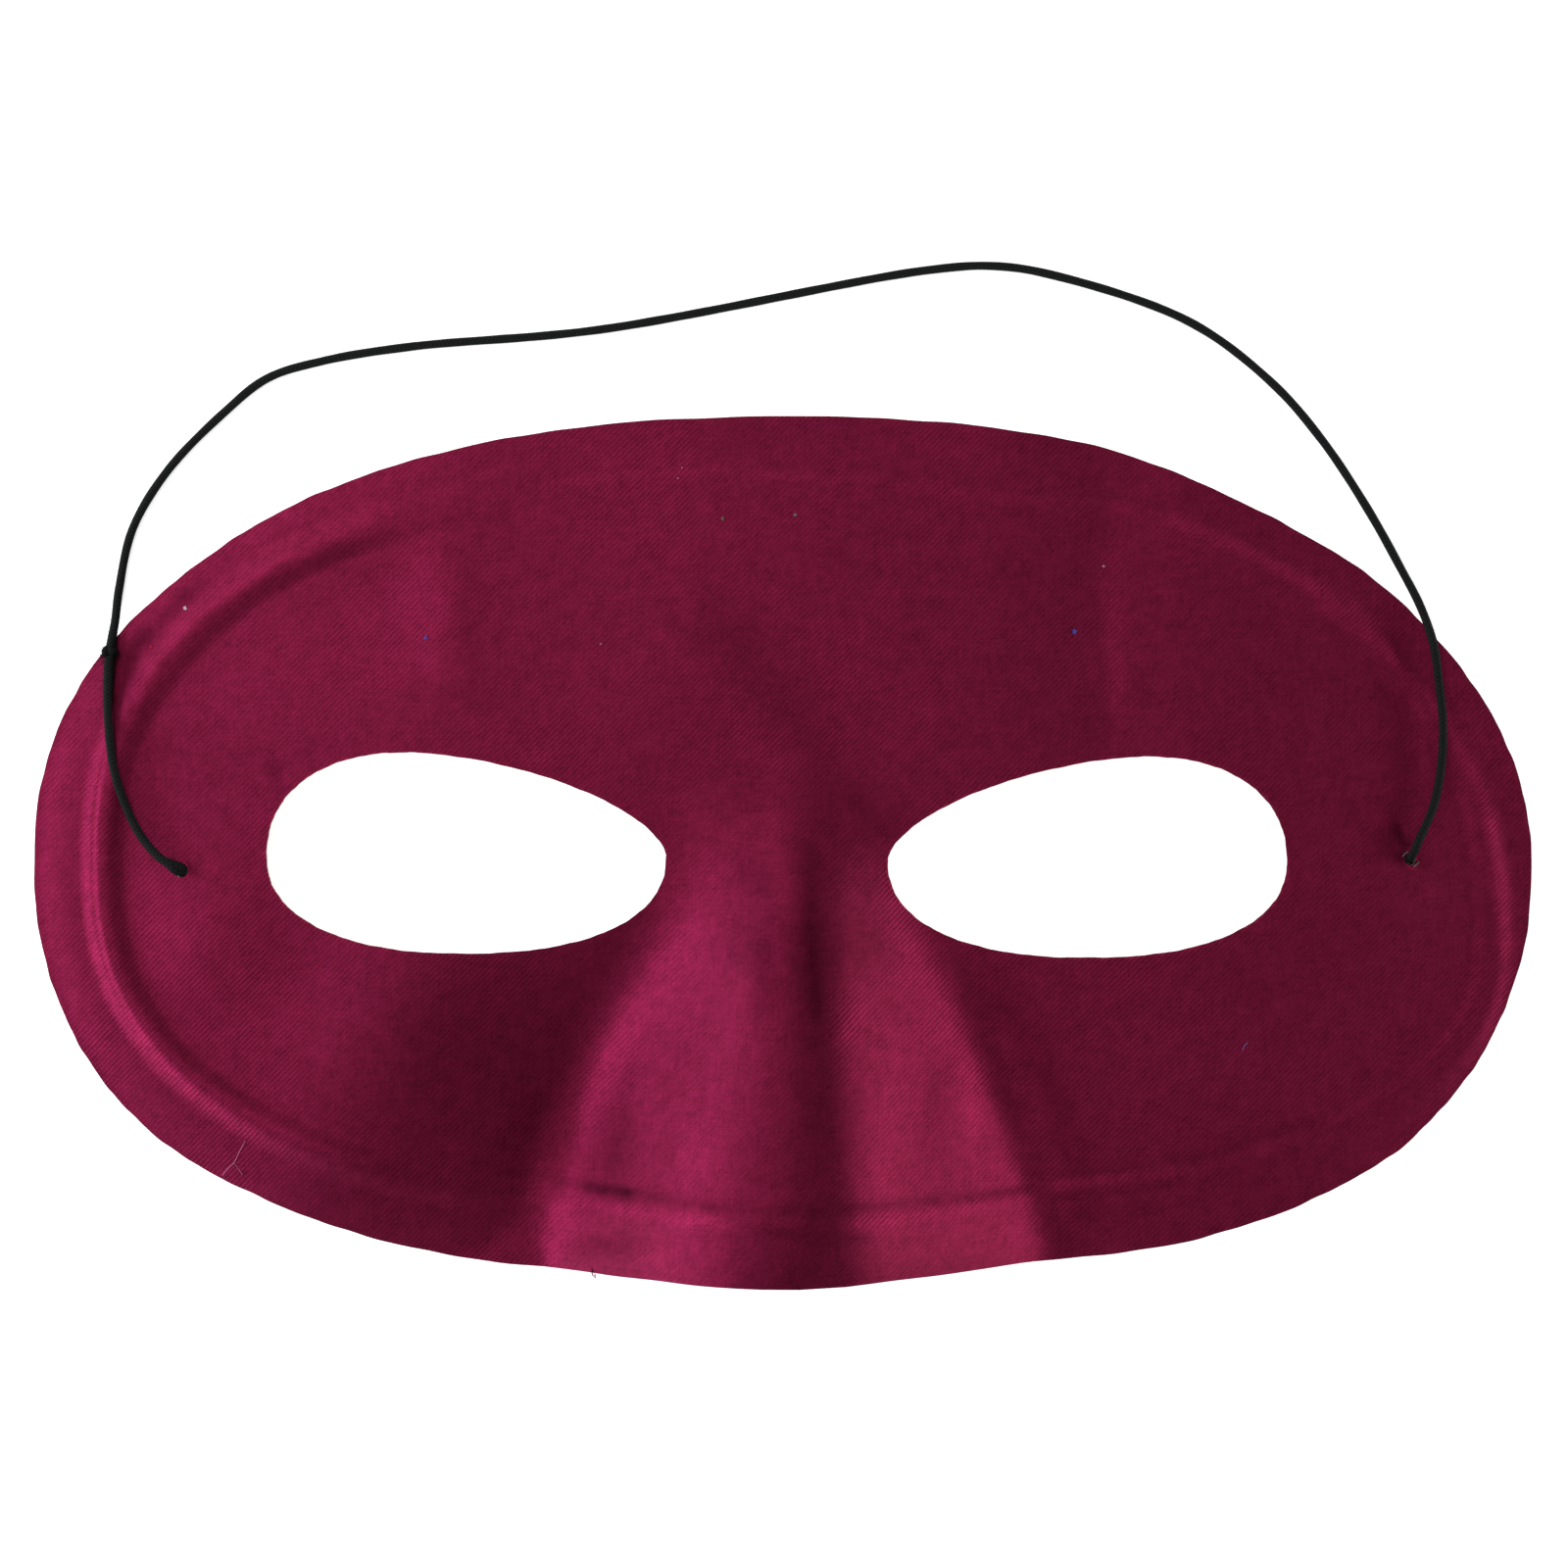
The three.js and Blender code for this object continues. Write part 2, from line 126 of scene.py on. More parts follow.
class Nodes:
    """One material, built node by node"""

    def __init__(self, name):
        self.material = bpy.data.materials.new(name)
        self.material.use_nodes = True
        self.tree = self.material.node_tree
        self.shader = self.tree.nodes["Principled BSDF"]

    def add(self, kind, inputs=None, out=0, **settings):
        node = self.tree.nodes.new("ShaderNode" + kind)
        for key, value in settings.items():
            setattr(node, key, value)
        for key, value in (inputs or {}).items():
            self.feed(node.inputs[key], value)
        return Value(self, node.outputs[out])

    def feed(self, socket, value):
        if isinstance(value, Value):
            self.tree.links.new(value.socket, socket)
        else:
            socket.default_value = value

    def set(self, **values):
        for key, value in values.items():
            self.feed(self.shader.inputs[key.replace("_", " ")], value)

    def mix(self, share, low, high):
        return self.add("Mix", {0: share, 6: low, 7: high}, out=2, data_type="RGBA")

    def noise(self, place, scale, detail, roughness=0.5):
        inputs = {"Vector": place, "Scale": scale, "Detail": detail, "Roughness": roughness}
        return self.add("TexNoise", inputs)

    def x_and_y(self, place):
        x = self.add("SeparateXYZ", {0: place})
        return x, Value(self, x.socket.node.outputs[1])


class Value:
    """A socket that takes part in sums"""

    def __init__(self, nodes, socket):
        self.nodes = nodes
        self.socket = socket

    def maths(self, operation, first, second=0.0):
        return self.nodes.add("Math", {0: first, 1: second}, operation=operation)

    def __add__(self, other):
        return self.maths("ADD", self, other)

    __radd__ = __add__

    def __mul__(self, other):
        return self.maths("MULTIPLY", self, other)

    __rmul__ = __mul__

    def __sub__(self, other):
        return self.maths("SUBTRACT", self, other)

    def __rsub__(self, other):
        return self.maths("SUBTRACT", other, self)

    def wave(self):
        """0 to 1 and back over each turn of 2 pi"""
        return self.maths("SINE", self) * 0.5 + 0.5


def start_clean():
    if bpy.context.object and bpy.context.object.mode != "OBJECT":
        bpy.ops.object.mode_set(mode="OBJECT")
    bpy.ops.object.select_all(action="DESELECT")


def follow(route, step):
    """Evenly spaced points on the smooth line through the route"""
    points = [Vector(p) for p in route]
    points = [2 * points[0] - points[1], *points, 2 * points[-1] - points[-2]]
    fine = []
    for a, b, c, d in zip(points, points[1:], points[2:], points[3:]):
        t0 = 0
        t1 = t0 + (b - a).length ** 0.5
        t2 = t1 + (c - b).length ** 0.5
        t3 = t2 + (d - c).length ** 0.5
        pieces = max(2, math.ceil((c - b).length / (step / 4)))
        for i in range(pieces):
            t = t1 + (t2 - t1) * i / pieces
            ab = a.lerp(b, (t - t0) / (t1 - t0))
            bc = b.lerp(c, (t - t1) / (t2 - t1))
            cd = c.lerp(d, (t - t2) / (t3 - t2))
            abc = ab.lerp(bc, (t - t0) / (t2 - t0))
            bcd = bc.lerp(cd, (t - t1) / (t3 - t1))
            fine.append(abc.lerp(bcd, (t - t1) / (t2 - t1)))
    fine.append(points[-2])
    even = [fine[0]]
    for point in fine[1:]:
        if (point - even[-1]).length >= step:
            even.append(point)
    even[-1] = fine[-1]
    return even


def tubes(name, lines, resolution):
    """Round tubes as one mesh, with UVs along and around them, each from its points and radii"""
    start_clean()
    bpy.ops.curve.primitive_nurbs_path_add()
    path = bpy.context.object
    path.name = name
    path.data.splines.clear()
    for line in lines:
        spline = path.data.splines.new("POLY")
        spline.points.add(len(line) - 1)
        for end, (place, radius) in zip(spline.points, line):
            end.co = (place[0] * MM, place[1] * MM, place[2] * MM, 1)
            end.radius = radius
    path.location = (0, 0, 0)
    path.data.dimensions = "3D"
    path.data.bevel_depth = MM
    path.data.bevel_resolution = resolution
    path.data.use_fill_caps = True
    bpy.ops.object.convert(target="MESH")
    made = bpy.context.object
    bpy.ops.object.shade_smooth()
    return made


def swollen(along, swelling):
    """How much thicker the cord is near a swelling"""
    near = max(0, 1 - abs(along - swelling["at"]) / swelling["half_length"])
    return swelling["swell"] * near * near * (3 - 2 * near)


cord_line = follow(CORD_ROUTE, CORD_STEP)
cord_length = sum((b - a).length for a, b in zip(cord_line, cord_line[1:]))
cord_tube = []
for i, place in enumerate(cord_line):
    along = i * CORD_STEP
    waver = sum(share * math.sin(rate * along + phase) for rate, share, phase in CORD_WAVER)
    thicker = 1 + waver + swollen(along, CLUB) + swollen(along, FRAYED)
    cord_tube.append((place, CORD_DIAMETER / 2 * thicker))
elastic = tubes("elastic_loop", [cord_tube], CORD_BEVEL_RESOLUTION)


def braided_elastic(name, length):
    """Black braid: yarns cross in two directions round the cord, with dull tops"""
    nodes = Nodes(name)
    along, around = nodes.x_and_y(nodes.add("TexCoord", out="UV"))
    turns = along * (2 * math.pi * length / BRAID_PITCH)
    rounds = around * (2 * math.pi * BRAID_YARNS / 2)
    yarns = (turns + rounds).wave() * (turns - rounds).wave()
    dust = nodes.noise(nodes.add("TexCoord", out="Object"), DUST_SCALE, 3.0)
    colour = nodes.mix(yarns * BRAID_SHARE + dust * (1 - BRAID_SHARE), YARN_DARK, YARN_LIGHT)
    bump = nodes.add("Bump", {"Height": yarns, "Distance": BRAID_RELIEF * MM, "Strength": 0.8})
    nodes.set(Base_Color=colour, Roughness=0.9, Specular_IOR_Level=0.12, Normal=bump)
    return nodes.material


elastic_cloth = braided_elastic("black_braided_elastic", cord_length)
elastic.data.materials.append(elastic_cloth)
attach(elastic, "root")
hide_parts("elastic_cord")


# The knots: each end of the elastic is tied in a small overhand knot behind its hole, so that
# it can't pull through. A third, frayed one sits on the elastic where it crosses the left edge,
# and loose fibres stand off it, off the worn stretch below it and, shorter, off the whole cord.
KNOT_SIZE = 0.72
KNOT_STEPS = 72
KNOT_DEPTH = 0.75
KNOT_PITCH = 0.3
KNOT_BEVEL_RESOLUTION = 3
KNOT_HOLES = {"left": (-79.95, -3.1), "right": (83.4, -1.7)}
KNOT_MIDDLE_Z = {"left": 2.6, "right": 1.55}
KNOT_LEAN = {"left": 0.4, "right": -0.6}
KNOT_YARN = 0.42
EDGE_KNOT = (-89.75, 25.8, 2.45)
EDGE_KNOT_LEAN = 0.2
EDGE_KNOT_YARN = 0.46
FIBRE_POINTS = 4
FIBRE_CURL = 0.5
FIBRE_TAPER = 0.6
FIBRE_TURNS = (-0.3, 1.3)
FIBRE_SLANT = 0.9
FIBRE_ROOT = 0.9
WORN_STRETCH = {"start": 24, "end": 34, "count": 150, "lengths": (0.3, 0.9), "radius": 0.018}
WHOLE_CORD = {"clear_ends": (3, 2), "per_mm": 5, "lengths": (0.1, 0.32), "radius": 0.012}
KNOT_FIBRES = {"count": 170, "spread": (1, 0.8, 0.4), "lengths": (0.3, 1.3), "radius": 0.02}
KNOT_FIBRE_ROOT = 0.6
KNOT_FIBRE_DRIFT = Vector((-0.25, -0.45, 0))


def knot_line(middle, yarn, lean):
    """An overhand knot drawn tight: a trefoil"""
    line = []
    for i in range(KNOT_STEPS + 1):
        t = i / KNOT_STEPS * 2 * math.pi
        x = (math.sin(t) + 2 * math.sin(2 * t)) / 3
        y = (math.cos(t) - 2 * math.cos(2 * t)) / 3
        z = -math.sin(3 * t) * KNOT_DEPTH
        place = Vector((x, y, z)) * KNOT_SIZE
        place.rotate(Vector((0, 1, 0)).rotation_difference(Vector((lean, 1, KNOT_PITCH))))
        line.append((Vector(middle) + place, yarn))
    return line


def fibre(chance, root, away, length, radius):
    """One loose hair that starts at root, leaves towards away and curls over, above the table"""
    curl = Vector([chance.uniform(-1, 1) for _ in range(3)]) * FIBRE_CURL
    line = []
    for i in range(FIBRE_POINTS):
        t = i / (FIBRE_POINTS - 1)
        place = root + (away * t + curl * t * t) * length
        place.z = max(place.z, radius)
        line.append((place, radius * (1 - FIBRE_TAPER * t)))
    return line


def fuzz_on_stretch(chance, start, end, count, lengths, radius):
    """Fibres that stand off the cord between two places along it, out of its surface"""
    lines = []
    for _ in range(count):
        i = int(chance.uniform(start, end) / CORD_STEP)
        i = min(max(i, 1), len(cord_line) - 2)
        run = (cord_line[i + 1] - cord_line[i - 1]).normalized()
        turn = chance.uniform(*FIBRE_TURNS) * math.pi
        aside = run.cross(Vector((0, 0, 1))).normalized()
        out = aside * math.cos(turn) + aside.cross(run) * -math.sin(turn)
        away = (out + run * chance.uniform(-FIBRE_SLANT, FIBRE_SLANT)).normalized()
        root = cord_line[i] + out * cord_tube[i][1] * FIBRE_ROOT
        lines.append(fibre(chance, root, away, chance.uniform(*lengths), radius))
    return lines


for side, (x, y) in KNOT_HOLES.items():
    line = knot_line((x, y, KNOT_MIDDLE_Z[side]), KNOT_YARN, KNOT_LEAN[side])
    knot = tubes(f"stopper_knot_{side}", [line], KNOT_BEVEL_RESOLUTION)
    knot.data.materials.append(elastic_cloth)
    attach(knot, "root")
    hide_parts(f"cord_knot_{side}")

edge_line = knot_line(EDGE_KNOT, EDGE_KNOT_YARN, EDGE_KNOT_LEAN)
edge_knot = tubes("edge_knot", [edge_line], KNOT_BEVEL_RESOLUTION)
edge_knot.data.materials.append(elastic_cloth)
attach(edge_knot, "root")

chance = random.Random(11)
fibres = fuzz_on_stretch(chance, **WORN_STRETCH)
fibres += fuzz_on_stretch(
    chance,
    start=WHOLE_CORD["clear_ends"][0],
    end=cord_length - WHOLE_CORD["clear_ends"][1],
    count=int(cord_length * WHOLE_CORD["per_mm"]),
    lengths=WHOLE_CORD["lengths"],
    radius=WHOLE_CORD["radius"],
)
for _ in range(KNOT_FIBRES["count"]):
    x, y, z = (chance.gauss(0, spread) for spread in KNOT_FIBRES["spread"])
    away = Vector((x, y, abs(z))).normalized()
    root = Vector(EDGE_KNOT) + away * KNOT_FIBRE_ROOT
    length = chance.uniform(*KNOT_FIBRES["lengths"])
    fibres.append(fibre(chance, root, away + KNOT_FIBRE_DRIFT, length, KNOT_FIBRES["radius"]))
fuzz = tubes("elastic_fuzz", fibres, 0)
fuzz.data.materials.append(elastic_cloth)
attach(fuzz, "root")

[[c * MM for c in p] for p in cord_line]


# The shell: sateen bonded to a stiff backing, pressed over a mould while hot and die-cut.
# The relief is the mould's: a bead inside the edge, a crowned field, the nose and the brows.
# Shade and highlights are painted into the cloth's colour: an even darkening, painted shade on the
# nose's crest and flanks, along the frown and in strokes by the bead and the holes, and painted
# highlights in paler strokes.

# Each stray of a line: its direction in degrees, how far out it goes and over how many degrees
CUT = {
    "x": 0,
    "y": -2.3,
    "half": 100.1,
    "top": 59.6,
    "bottom": 54.8,
    "full": (2.06, 2.23, 2.46, 2.46),
    "strays": [
        (26, 0.45, 5.5),
        (37, -0.15, 118),
        (51, 0.45, 8),
        (55, 0.8, 20),
        (155, -0.5, 8),
        (191, -0.5, 6.5),
        (205, 0.35, 5),
        (230, 0.7, 13),
        (251, -0.3, 8),
        (289, -0.7, 10),
        (301, -0.45, 5.5),
        (316, 0.2, 3.5),
        (327, 0.9, 11),
        (335, 0.45, 3.5),
        (349, -0.4, 5),
    ],
}
BEAD = {
    "x": 1.7,
    "y": 0.2,
    "half": 92.5,
    "top": 48,
    "bottom": 48,
    "full": (2.2, 2.6, 2.75, 3),
    "strays": [
        (14, -2, 14),
        (46, 0.5, 6),
        (57, -1.6, 8),
        (76, -0.5, 10),
        (108, 0.5, 8),
        (162, -2, 12),
        (204, -1, 15),
        (290, 1.4, 15),
        (347, 1.9, 9),
    ],
}
BEAD_HALF_SPAN = 3.5

# Heights round the bead, anticlockwise from its right end in even steps
BEAD_HEIGHTS = (
    0.65, 0.5, 0.55, 0.4, 0.3, 0.2, 0.2, 0.1, 0.05, 0.2, 0.95, 0.9,
    1.1, 1.3, 1.25, 0.6, 0.15, 0.45, 0.5, 0.3, 0.22, 0.22, 0.3, 0.4,
)
FLANGE_RISES = (0.6, 0.3, 1.5, 0.9, 2.4, 2.2, 1.9, 0.6)
FLANGE_POWER = 2.1
RISE_EVEN_WITHIN = 0.9

# Fine folds outside and inside the bead, over a stretch of it in degrees
LEFT_GROOVE = {"from_bead": 1.2, "half_span": 0.5, "height": -0.1, "turns": (168, 200), "ease": 8}
CREASE = {"from_bead": -1.6, "half_span": 1.8, "height": 0.2, "turns": (-75, 0), "ease": 20}

# The crowned field and the bend of both wings, then the nose, the cheeks, the brows and the frown
RELIEF_X = 2.1
WING_RISE = 4.7
LEFT_WING = (98, 43)
RIGHT_WING = (98, 48)
FIELD_CROWN = 1.1
FIELD_SHARPNESS = 4
NOSE_START_Y = 14
NOSE_EASE = 21.5
NOSE_POWER = 0.72
NOSE_HEIGHT = 20
NOSE_FOOT_Y = -3.4
NOSE_FOOT_HALF_WIDTH = 14.3
NOSE_SPREAD = 0.55
NOSE_SPREAD_EASE = 0.0027
NOSE_FOOT_X = 1.6
NOSE_CREST_X = 2
NOSE_FOOT_ROUND = 4.5
NOSE_CREST_ROUNDS = (3.3, 6.9)
NOSE_CREST_SPREADS = (0.35, 0.08)
CHEEK_FALLS = (7.5, 3)
CHEEK_SPANS = (37, 11.5)
CHEEK_ROUNDING = 0.4
CHEEK_START_Y = -3.5
CHEEK_FULL_OVER = 27
BROWS = [(-15.6, 21.5), (17.1, 21.5)]
BROW_HEIGHT = 0.6
BROW_SPAN = 12.5
FROWN = [(-7.7, 28), (-3.1, 22.8), (4.1, 13.6), (6.7, 8.4)]
FROWN_DEPTH = 0.1
FROWN_SPANS = (4, 6)
FOREHEAD_STEP = {"from_x": 27, "width": 19, "drop": 1.7, "from_y": -5, "over": 25}

# Each dent or, where its depth is negative, swelling: its middle, depth and two spans
DENTS = [
    (-28, -39, 1.5, 6.5, 7),
    (-23.5, -51.5, 0.5, 5.5, 2.2),
    (22, -34, -0.35, 2.5, 5.5),
    (79.5, -6, -1.2, 10.5, 12.5),
    (-63.5, -15.5, 0.95, 8, 12),
    (-20, -30, -0.65, 4, 10),
    (17, -41.5, 0.5, 4.5, 9.5),
    (42.6, 28, 0.35, 2.4, 15),
    (-55, 31, 0.9, 9, 9),
    (-44.5, 31, -0.5, 3.5, 8),
    (-76.5, -11, -0.95, 7.5, 10),
]
# Painted shade in the cloth's colour: an even share, more on the nose's crest and flanks and along
# the frown
PAINTED_SHADE_EVERYWHERE = 0.3
PAINTED_SHADE_CREST = 0.064
CREST_SPAN = 4.3
PAINTED_SHADE_FURROW = 0.15
PAINTED_SHADE_FLANKS = 0.135
FLANK_EASE = 9

# Each stroke of painted shade, or of painted highlight where its last number is below 0: from
# where to where, its span, and how much darker, or paler below 0, it paints the cloth
PAINTED_SHADE_AND_HIGHLIGHT_MARKS = [
    ((-31.5, 48.3), (-12.6, 49.9), 0.7, -0.08),
    ((-12.6, 49.9), (12, 48.8), 0.7, -0.09),
    ((12, 48.8), (28.8, 46.5), 0.7, -0.07),
    ((28.8, 46.5), (44.8, 45.5), 0.7, -0.08),
    ((44.8, 45.5), (52, 43.4), 0.9, -0.12),
    ((52, 43.4), (61.5, 39.6), 0.9, -0.28),
    ((61.5, 39.6), (71, 34.2), 0.9, -0.22),
    ((71, 34.2), (80, 27), 0.8, -0.15),
    ((80, 27), (87.4, 18.4), 0.8, -0.14),
    ((87.4, 18.4), (92, 10), 0.9, -0.26),
    ((92, 10), (94, 3), 0.9, -0.15),
    ((94, 3), (96, -14), 0.9, -0.16),
    ((72, 31.7), (81.3, 25.1), 0.7, -0.12),
    ((81.3, 25.1), (85.5, 17.5), 0.7, -0.12),
    ((42.6, 38), (43.8, 20), 1.5, -0.12),
    ((-86.6, -21.5), (-84.8, -25.8), 0.9, -0.12),
    ((-84.8, -25.8), (-79, -32.3), 0.9, -0.16),
    ((-79, -32.3), (-71, -37.7), 0.9, -0.16),
    ((-71, -37.7), (-61, -42), 0.9, -0.07),
    ((-37, -46.5), (-30, -48), 0.9, -0.1),
    ((37, -43.6), (55, -41.5), 0.8, 0.06),
    ((55, -41.5), (70, -36.8), 0.8, 0.06),
    ((30, -26), (37, -50), 3, -0.1),
    ((48, -30), (66, -28), 9, -0.05),
    ((-4.5, 7), (-5, -2), 3.5, 0.1),
    ((-5, -3), (-5.5, -14), 3, 0.12),
    ((10.6, -3), (10.8, -14), 3, 0.1),
    ((-84, -4), (-82, -16), 3, -0.1),
    ((-72.5, -32.4), (-64.5, -36.2), 0.9, 0.08),
    ((-86.8, 27), (-87.6, 19), 1.5, 0.2),
    ((-88, 22.6), (-85, 28.2), 1.5, 0.16),
    ((-85, 28.2), (-79.5, 33.5), 1.5, 0.19),
    ((-79.5, 33.5), (-73.5, 38.2), 1.3, 0.11),
    ((-87.4, 17.7), (-80, 29.2), 0.9, -0.1),
    ((-80, 29.2), (-69.3, 36.6), 0.9, -0.1),
    ((-69.3, 36.6), (-55, 43.5), 0.9, -0.08),
    ((-85.5, 18), (-82.5, 24.3), 0.7, 0.11),
    ((-82.5, 24.3), (-75.8, 30.8), 0.7, 0.13),
    ((-75.8, 30.8), (-66, 37.4), 0.7, 0.1),
    ((-78, -8), (-68, -28), 8, -0.07),
    ((-72, 22), (-52, 34), 7, -0.06),
    ((81.3, 3.1), (83, -0.3), 0.5, 0.24),
    ((-34, 33.6), (34, 33.6), 0.4, -0.04),
    ((-20, 29.7), (24, 29.6), 0.4, -0.03),
    ((-49, 40), (-47.6, 25), 2.8, -0.07),
    ((-68, 11), (-66.5, 6), 1, 0.12),
    ((-67.5, 10), (-62, 14), 0.8, 0.08),
    ((9.9, -21.2), (7.6, -25.4), 0.8, -0.15),
    ((24, -30), (25.5, -37), 1.1, -0.14),
    ((-28.5, -37), (-20, -21), 0.5, -0.08),
    ((-22.5, -42.5), (-21.5, -36), 1.4, 0.1),
    ((-13.5, -30), (-12.5, -43), 1.2, -0.06),
    ((15, -24), (13.5, -44), 1.4, -0.06),
    ((3.6, -0.5), (4, -21), 1.3, 0.16),
    ((4, -14), (6, -50), 2.2, 0.06),
    ((-2, -4), (-2.6, -20), 1.6, 0.1),
    ((-38, -43.2), (-26.5, -44.8), 0.6, 0.1),
    ((-25.5, -45.2), (-20.5, -45.4), 0.9, 0.29),
    ((-20.5, -45.4), (-9, -46.6), 0.7, 0.11),
    ((-9, -46.6), (9, -47), 0.7, 0.08),
    ((9, -46.6), (32, -45.4), 0.7, 0.13),
    ((-27, -47.3), (-8, -48.7), 0.9, -0.16),
    ((9, -48.6), (26, -47.4), 0.9, -0.13),
    ((-26, -52), (-21, -53), 1.1, 0.13),
    ((-16, -51), (-16, -57), 1, -0.08),
    ((-79, -2.7), (-78.4, -3.3), 0.5, 0.32),
    ((-81.6, -0.6), (-80.9, -1.8), 0.5, 0.24),
    ((81.6, 1.6), (83.2, -1.8), 1.6, 0.24),
]
TABLE_ROUND = 0.8
SHELL_THICKNESS = 1
SECTORS = 480
ROWS = 96
FLANGE_SHARE = 0.1
BEAD_SHARE = 0.36
BEAD_PART_OF_RIM = 0.75
SPINE_HALF_LENGTH = 36
WELD_WITHIN = 0.01

# How the blade wandered: waves round the edge, how far, and their phase
CUT_WANDER = [(41, 0.04, 1), (67, 0.03, 2), (103, 0.025, 0)]


def smooth(t):
    c = np.clip(t, 0, 1)
    return c * c * (3 - 2 * c)


def signed_power(value, power):
    return np.sign(value) * np.abs(value) ** power


def fullness(oval, x, y):
    top_right, top_left, bottom_left, bottom_right = oval["full"]
    top = np.where(x >= 0, top_right, top_left)
    bottom = np.where(x >= 0, bottom_right, bottom_left)
    return np.where(y >= 0, top, bottom)


def stray(oval, dx, dy):
    """How far a line strays outwards from its oval"""
    turn = np.degrees(np.arctan2(dy, dx))
    far_out = np.zeros_like(turn)
    for at, far, span in oval["strays"]:
        off = ((turn - at + 180) % 360 - 180) / span
        far_out += far * np.exp(-off * off)
    return far_out


def line_point(oval, turn, grow=0):
    """A point of the line round an oval, which may run grow outside or inside it"""
    c, s = np.cos(turn), np.sin(turn)
    n = fullness(oval, c, s)
    half_height = np.where(s >= 0, oval["top"], oval["bottom"])
    dx = (oval["half"] + grow) * signed_power(c, 2 / n)
    dy = (half_height + grow) * signed_power(s, 2 / n)
    further = 1 + stray(oval, dx, dy) / np.hypot(dx, dy)
    return oval["x"] + dx * further, oval["y"] + dy * further


def line_level(oval, x, y):
    """0 at the oval's middle, 1 on its line"""
    dx, dy = x - oval["x"], y - oval["y"]
    n = fullness(oval, dx, dy)
    half_height = np.where(dy >= 0, oval["top"], oval["bottom"])
    level = (np.abs(dx / oval["half"]) ** n + np.abs(dy / half_height) ** n) ** (1 / n)
    return level / (1 + stray(oval, dx, dy) * level / np.maximum(np.hypot(dx, dy), 1e-6))


def line_distance(oval, x, y):
    h = 0.05
    slope_x = (line_level(oval, x + h, y) - line_level(oval, x - h, y)) / (2 * h)
    slope_y = (line_level(oval, x, y + h) - line_level(oval, x, y - h)) / (2 * h)
    return (line_level(oval, x, y) - 1) / np.maximum(np.hypot(slope_x, slope_y), 1e-6)


def direction(oval, x, y):
    return np.degrees(np.arctan2(y - oval["y"], x - oval["x"]))


def round_the_bead(heights, x, y):
    """The listed heights, each eased into the next"""
    step = 360 / len(heights)
    height = np.zeros_like(x)
    for i, listed in enumerate(heights):
        off = np.abs((direction(BEAD, x, y) - i * step + 180) % 360 - 180)
        height += listed * (1 - smooth(off / step))
    return height


def nose_half_width(y):
    down = np.maximum(NOSE_FOOT_Y - y, 0)
    return NOSE_FOOT_HALF_WIDTH + NOSE_SPREAD * down - NOSE_SPREAD_EASE * down * down


def rounded_ramp(t, part):
    """A straight ramp from 0 at t = 0 that levels out to 1 over the last part before t = 1"""
    t = np.clip(t, 0, 1)
    top = 1 - part / 2
    return np.where(t < 1 - part, t, top - (1 - t) ** 2 / (2 * part)) / top


def above_zero(t, rounding):
    """t where it is above 0, else 0, with the bend rounded that far to each side"""
    return np.maximum(t, 0) + np.maximum(rounding - np.abs(t), 0) ** 2 / (4 * rounding)


def nose_and_cheeks(x, y):
    """The nose's two flanks rise to its crest, and the cheeks fall to its foot"""
    on_left = x < NOSE_CREST_X
    side = np.where(on_left, -1, 1)
    down = np.maximum(NOSE_FOOT_Y - y, 0)
    foot = nose_half_width(y)
    inwards = foot + side * (NOSE_FOOT_X - x)
    run = foot + side * (NOSE_FOOT_X - NOSE_CREST_X)
    crest_round = np.where(on_left, *NOSE_CREST_ROUNDS)
    crest_round = crest_round + np.where(on_left, *NOSE_CREST_SPREADS) * down
    rise = rounded_ramp(above_zero(inwards, NOSE_FOOT_ROUND) / run, crest_round / run)
    cheek_span = np.where(on_left, *CHEEK_SPANS)
    regained = rounded_ramp(above_zero(-inwards, NOSE_FOOT_ROUND) / cheek_span, CHEEK_ROUNDING)
    fall = np.where(on_left, *CHEEK_FALLS) * smooth((CHEEK_START_Y - y) / CHEEK_FULL_OVER)
    along = np.maximum(NOSE_START_Y - y, 0) / (NOSE_START_Y - CUT["y"] + CUT["bottom"])
    height = NOSE_HEIGHT * along**NOSE_POWER * smooth((NOSE_START_Y - y) / NOSE_EASE)
    return height * rise - fall * (1 - rise - regained)


def frown(x, y):
    """The slanting furrow between the brows, steep on its left and gentle on its right"""
    nearest = np.full_like(x, np.inf)
    for (ax, ay), (bx, by) in zip(FROWN, FROWN[1:]):
        dx, dy = bx - ax, by - ay
        t = np.clip(((x - ax) * dx + (y - ay) * dy) / (dx * dx + dy * dy), 0, 1)
        away_x, away_y = x - ax - t * dx, y - ay - t * dy
        span = np.where(away_x * dy - away_y * dx > 0, *FROWN_SPANS)
        nearest = np.minimum(nearest, np.hypot(away_x, away_y) / span)
    return np.exp(-nearest * nearest)


def wings(x):
    """The shell bends down from its middle to both ends, which rest on the table"""
    across = np.abs(x - RELIEF_X)
    flat_from, level_from = (np.where(x < RELIEF_X, *ends) for ends in zip(LEFT_WING, RIGHT_WING))
    return WING_RISE * smooth((flat_from - across) / (flat_from - level_from))


def rib(away, half_span):
    """A rounded rib: 1 on its crest, 0 from half_span away"""
    return np.cos(np.minimum(np.abs(away) / half_span, 1) * math.pi / 2) ** 2


def fold_beside_bead(fold, from_bead, turn):
    """Height of a fold that runs beside the bead and fades out at both ends"""
    start, end = fold["turns"]
    shown = smooth((turn - start) / fold["ease"]) * smooth((end - turn) / fold["ease"])
    return fold["height"] * rib(from_bead - fold["from_bead"], fold["half_span"]) * shown


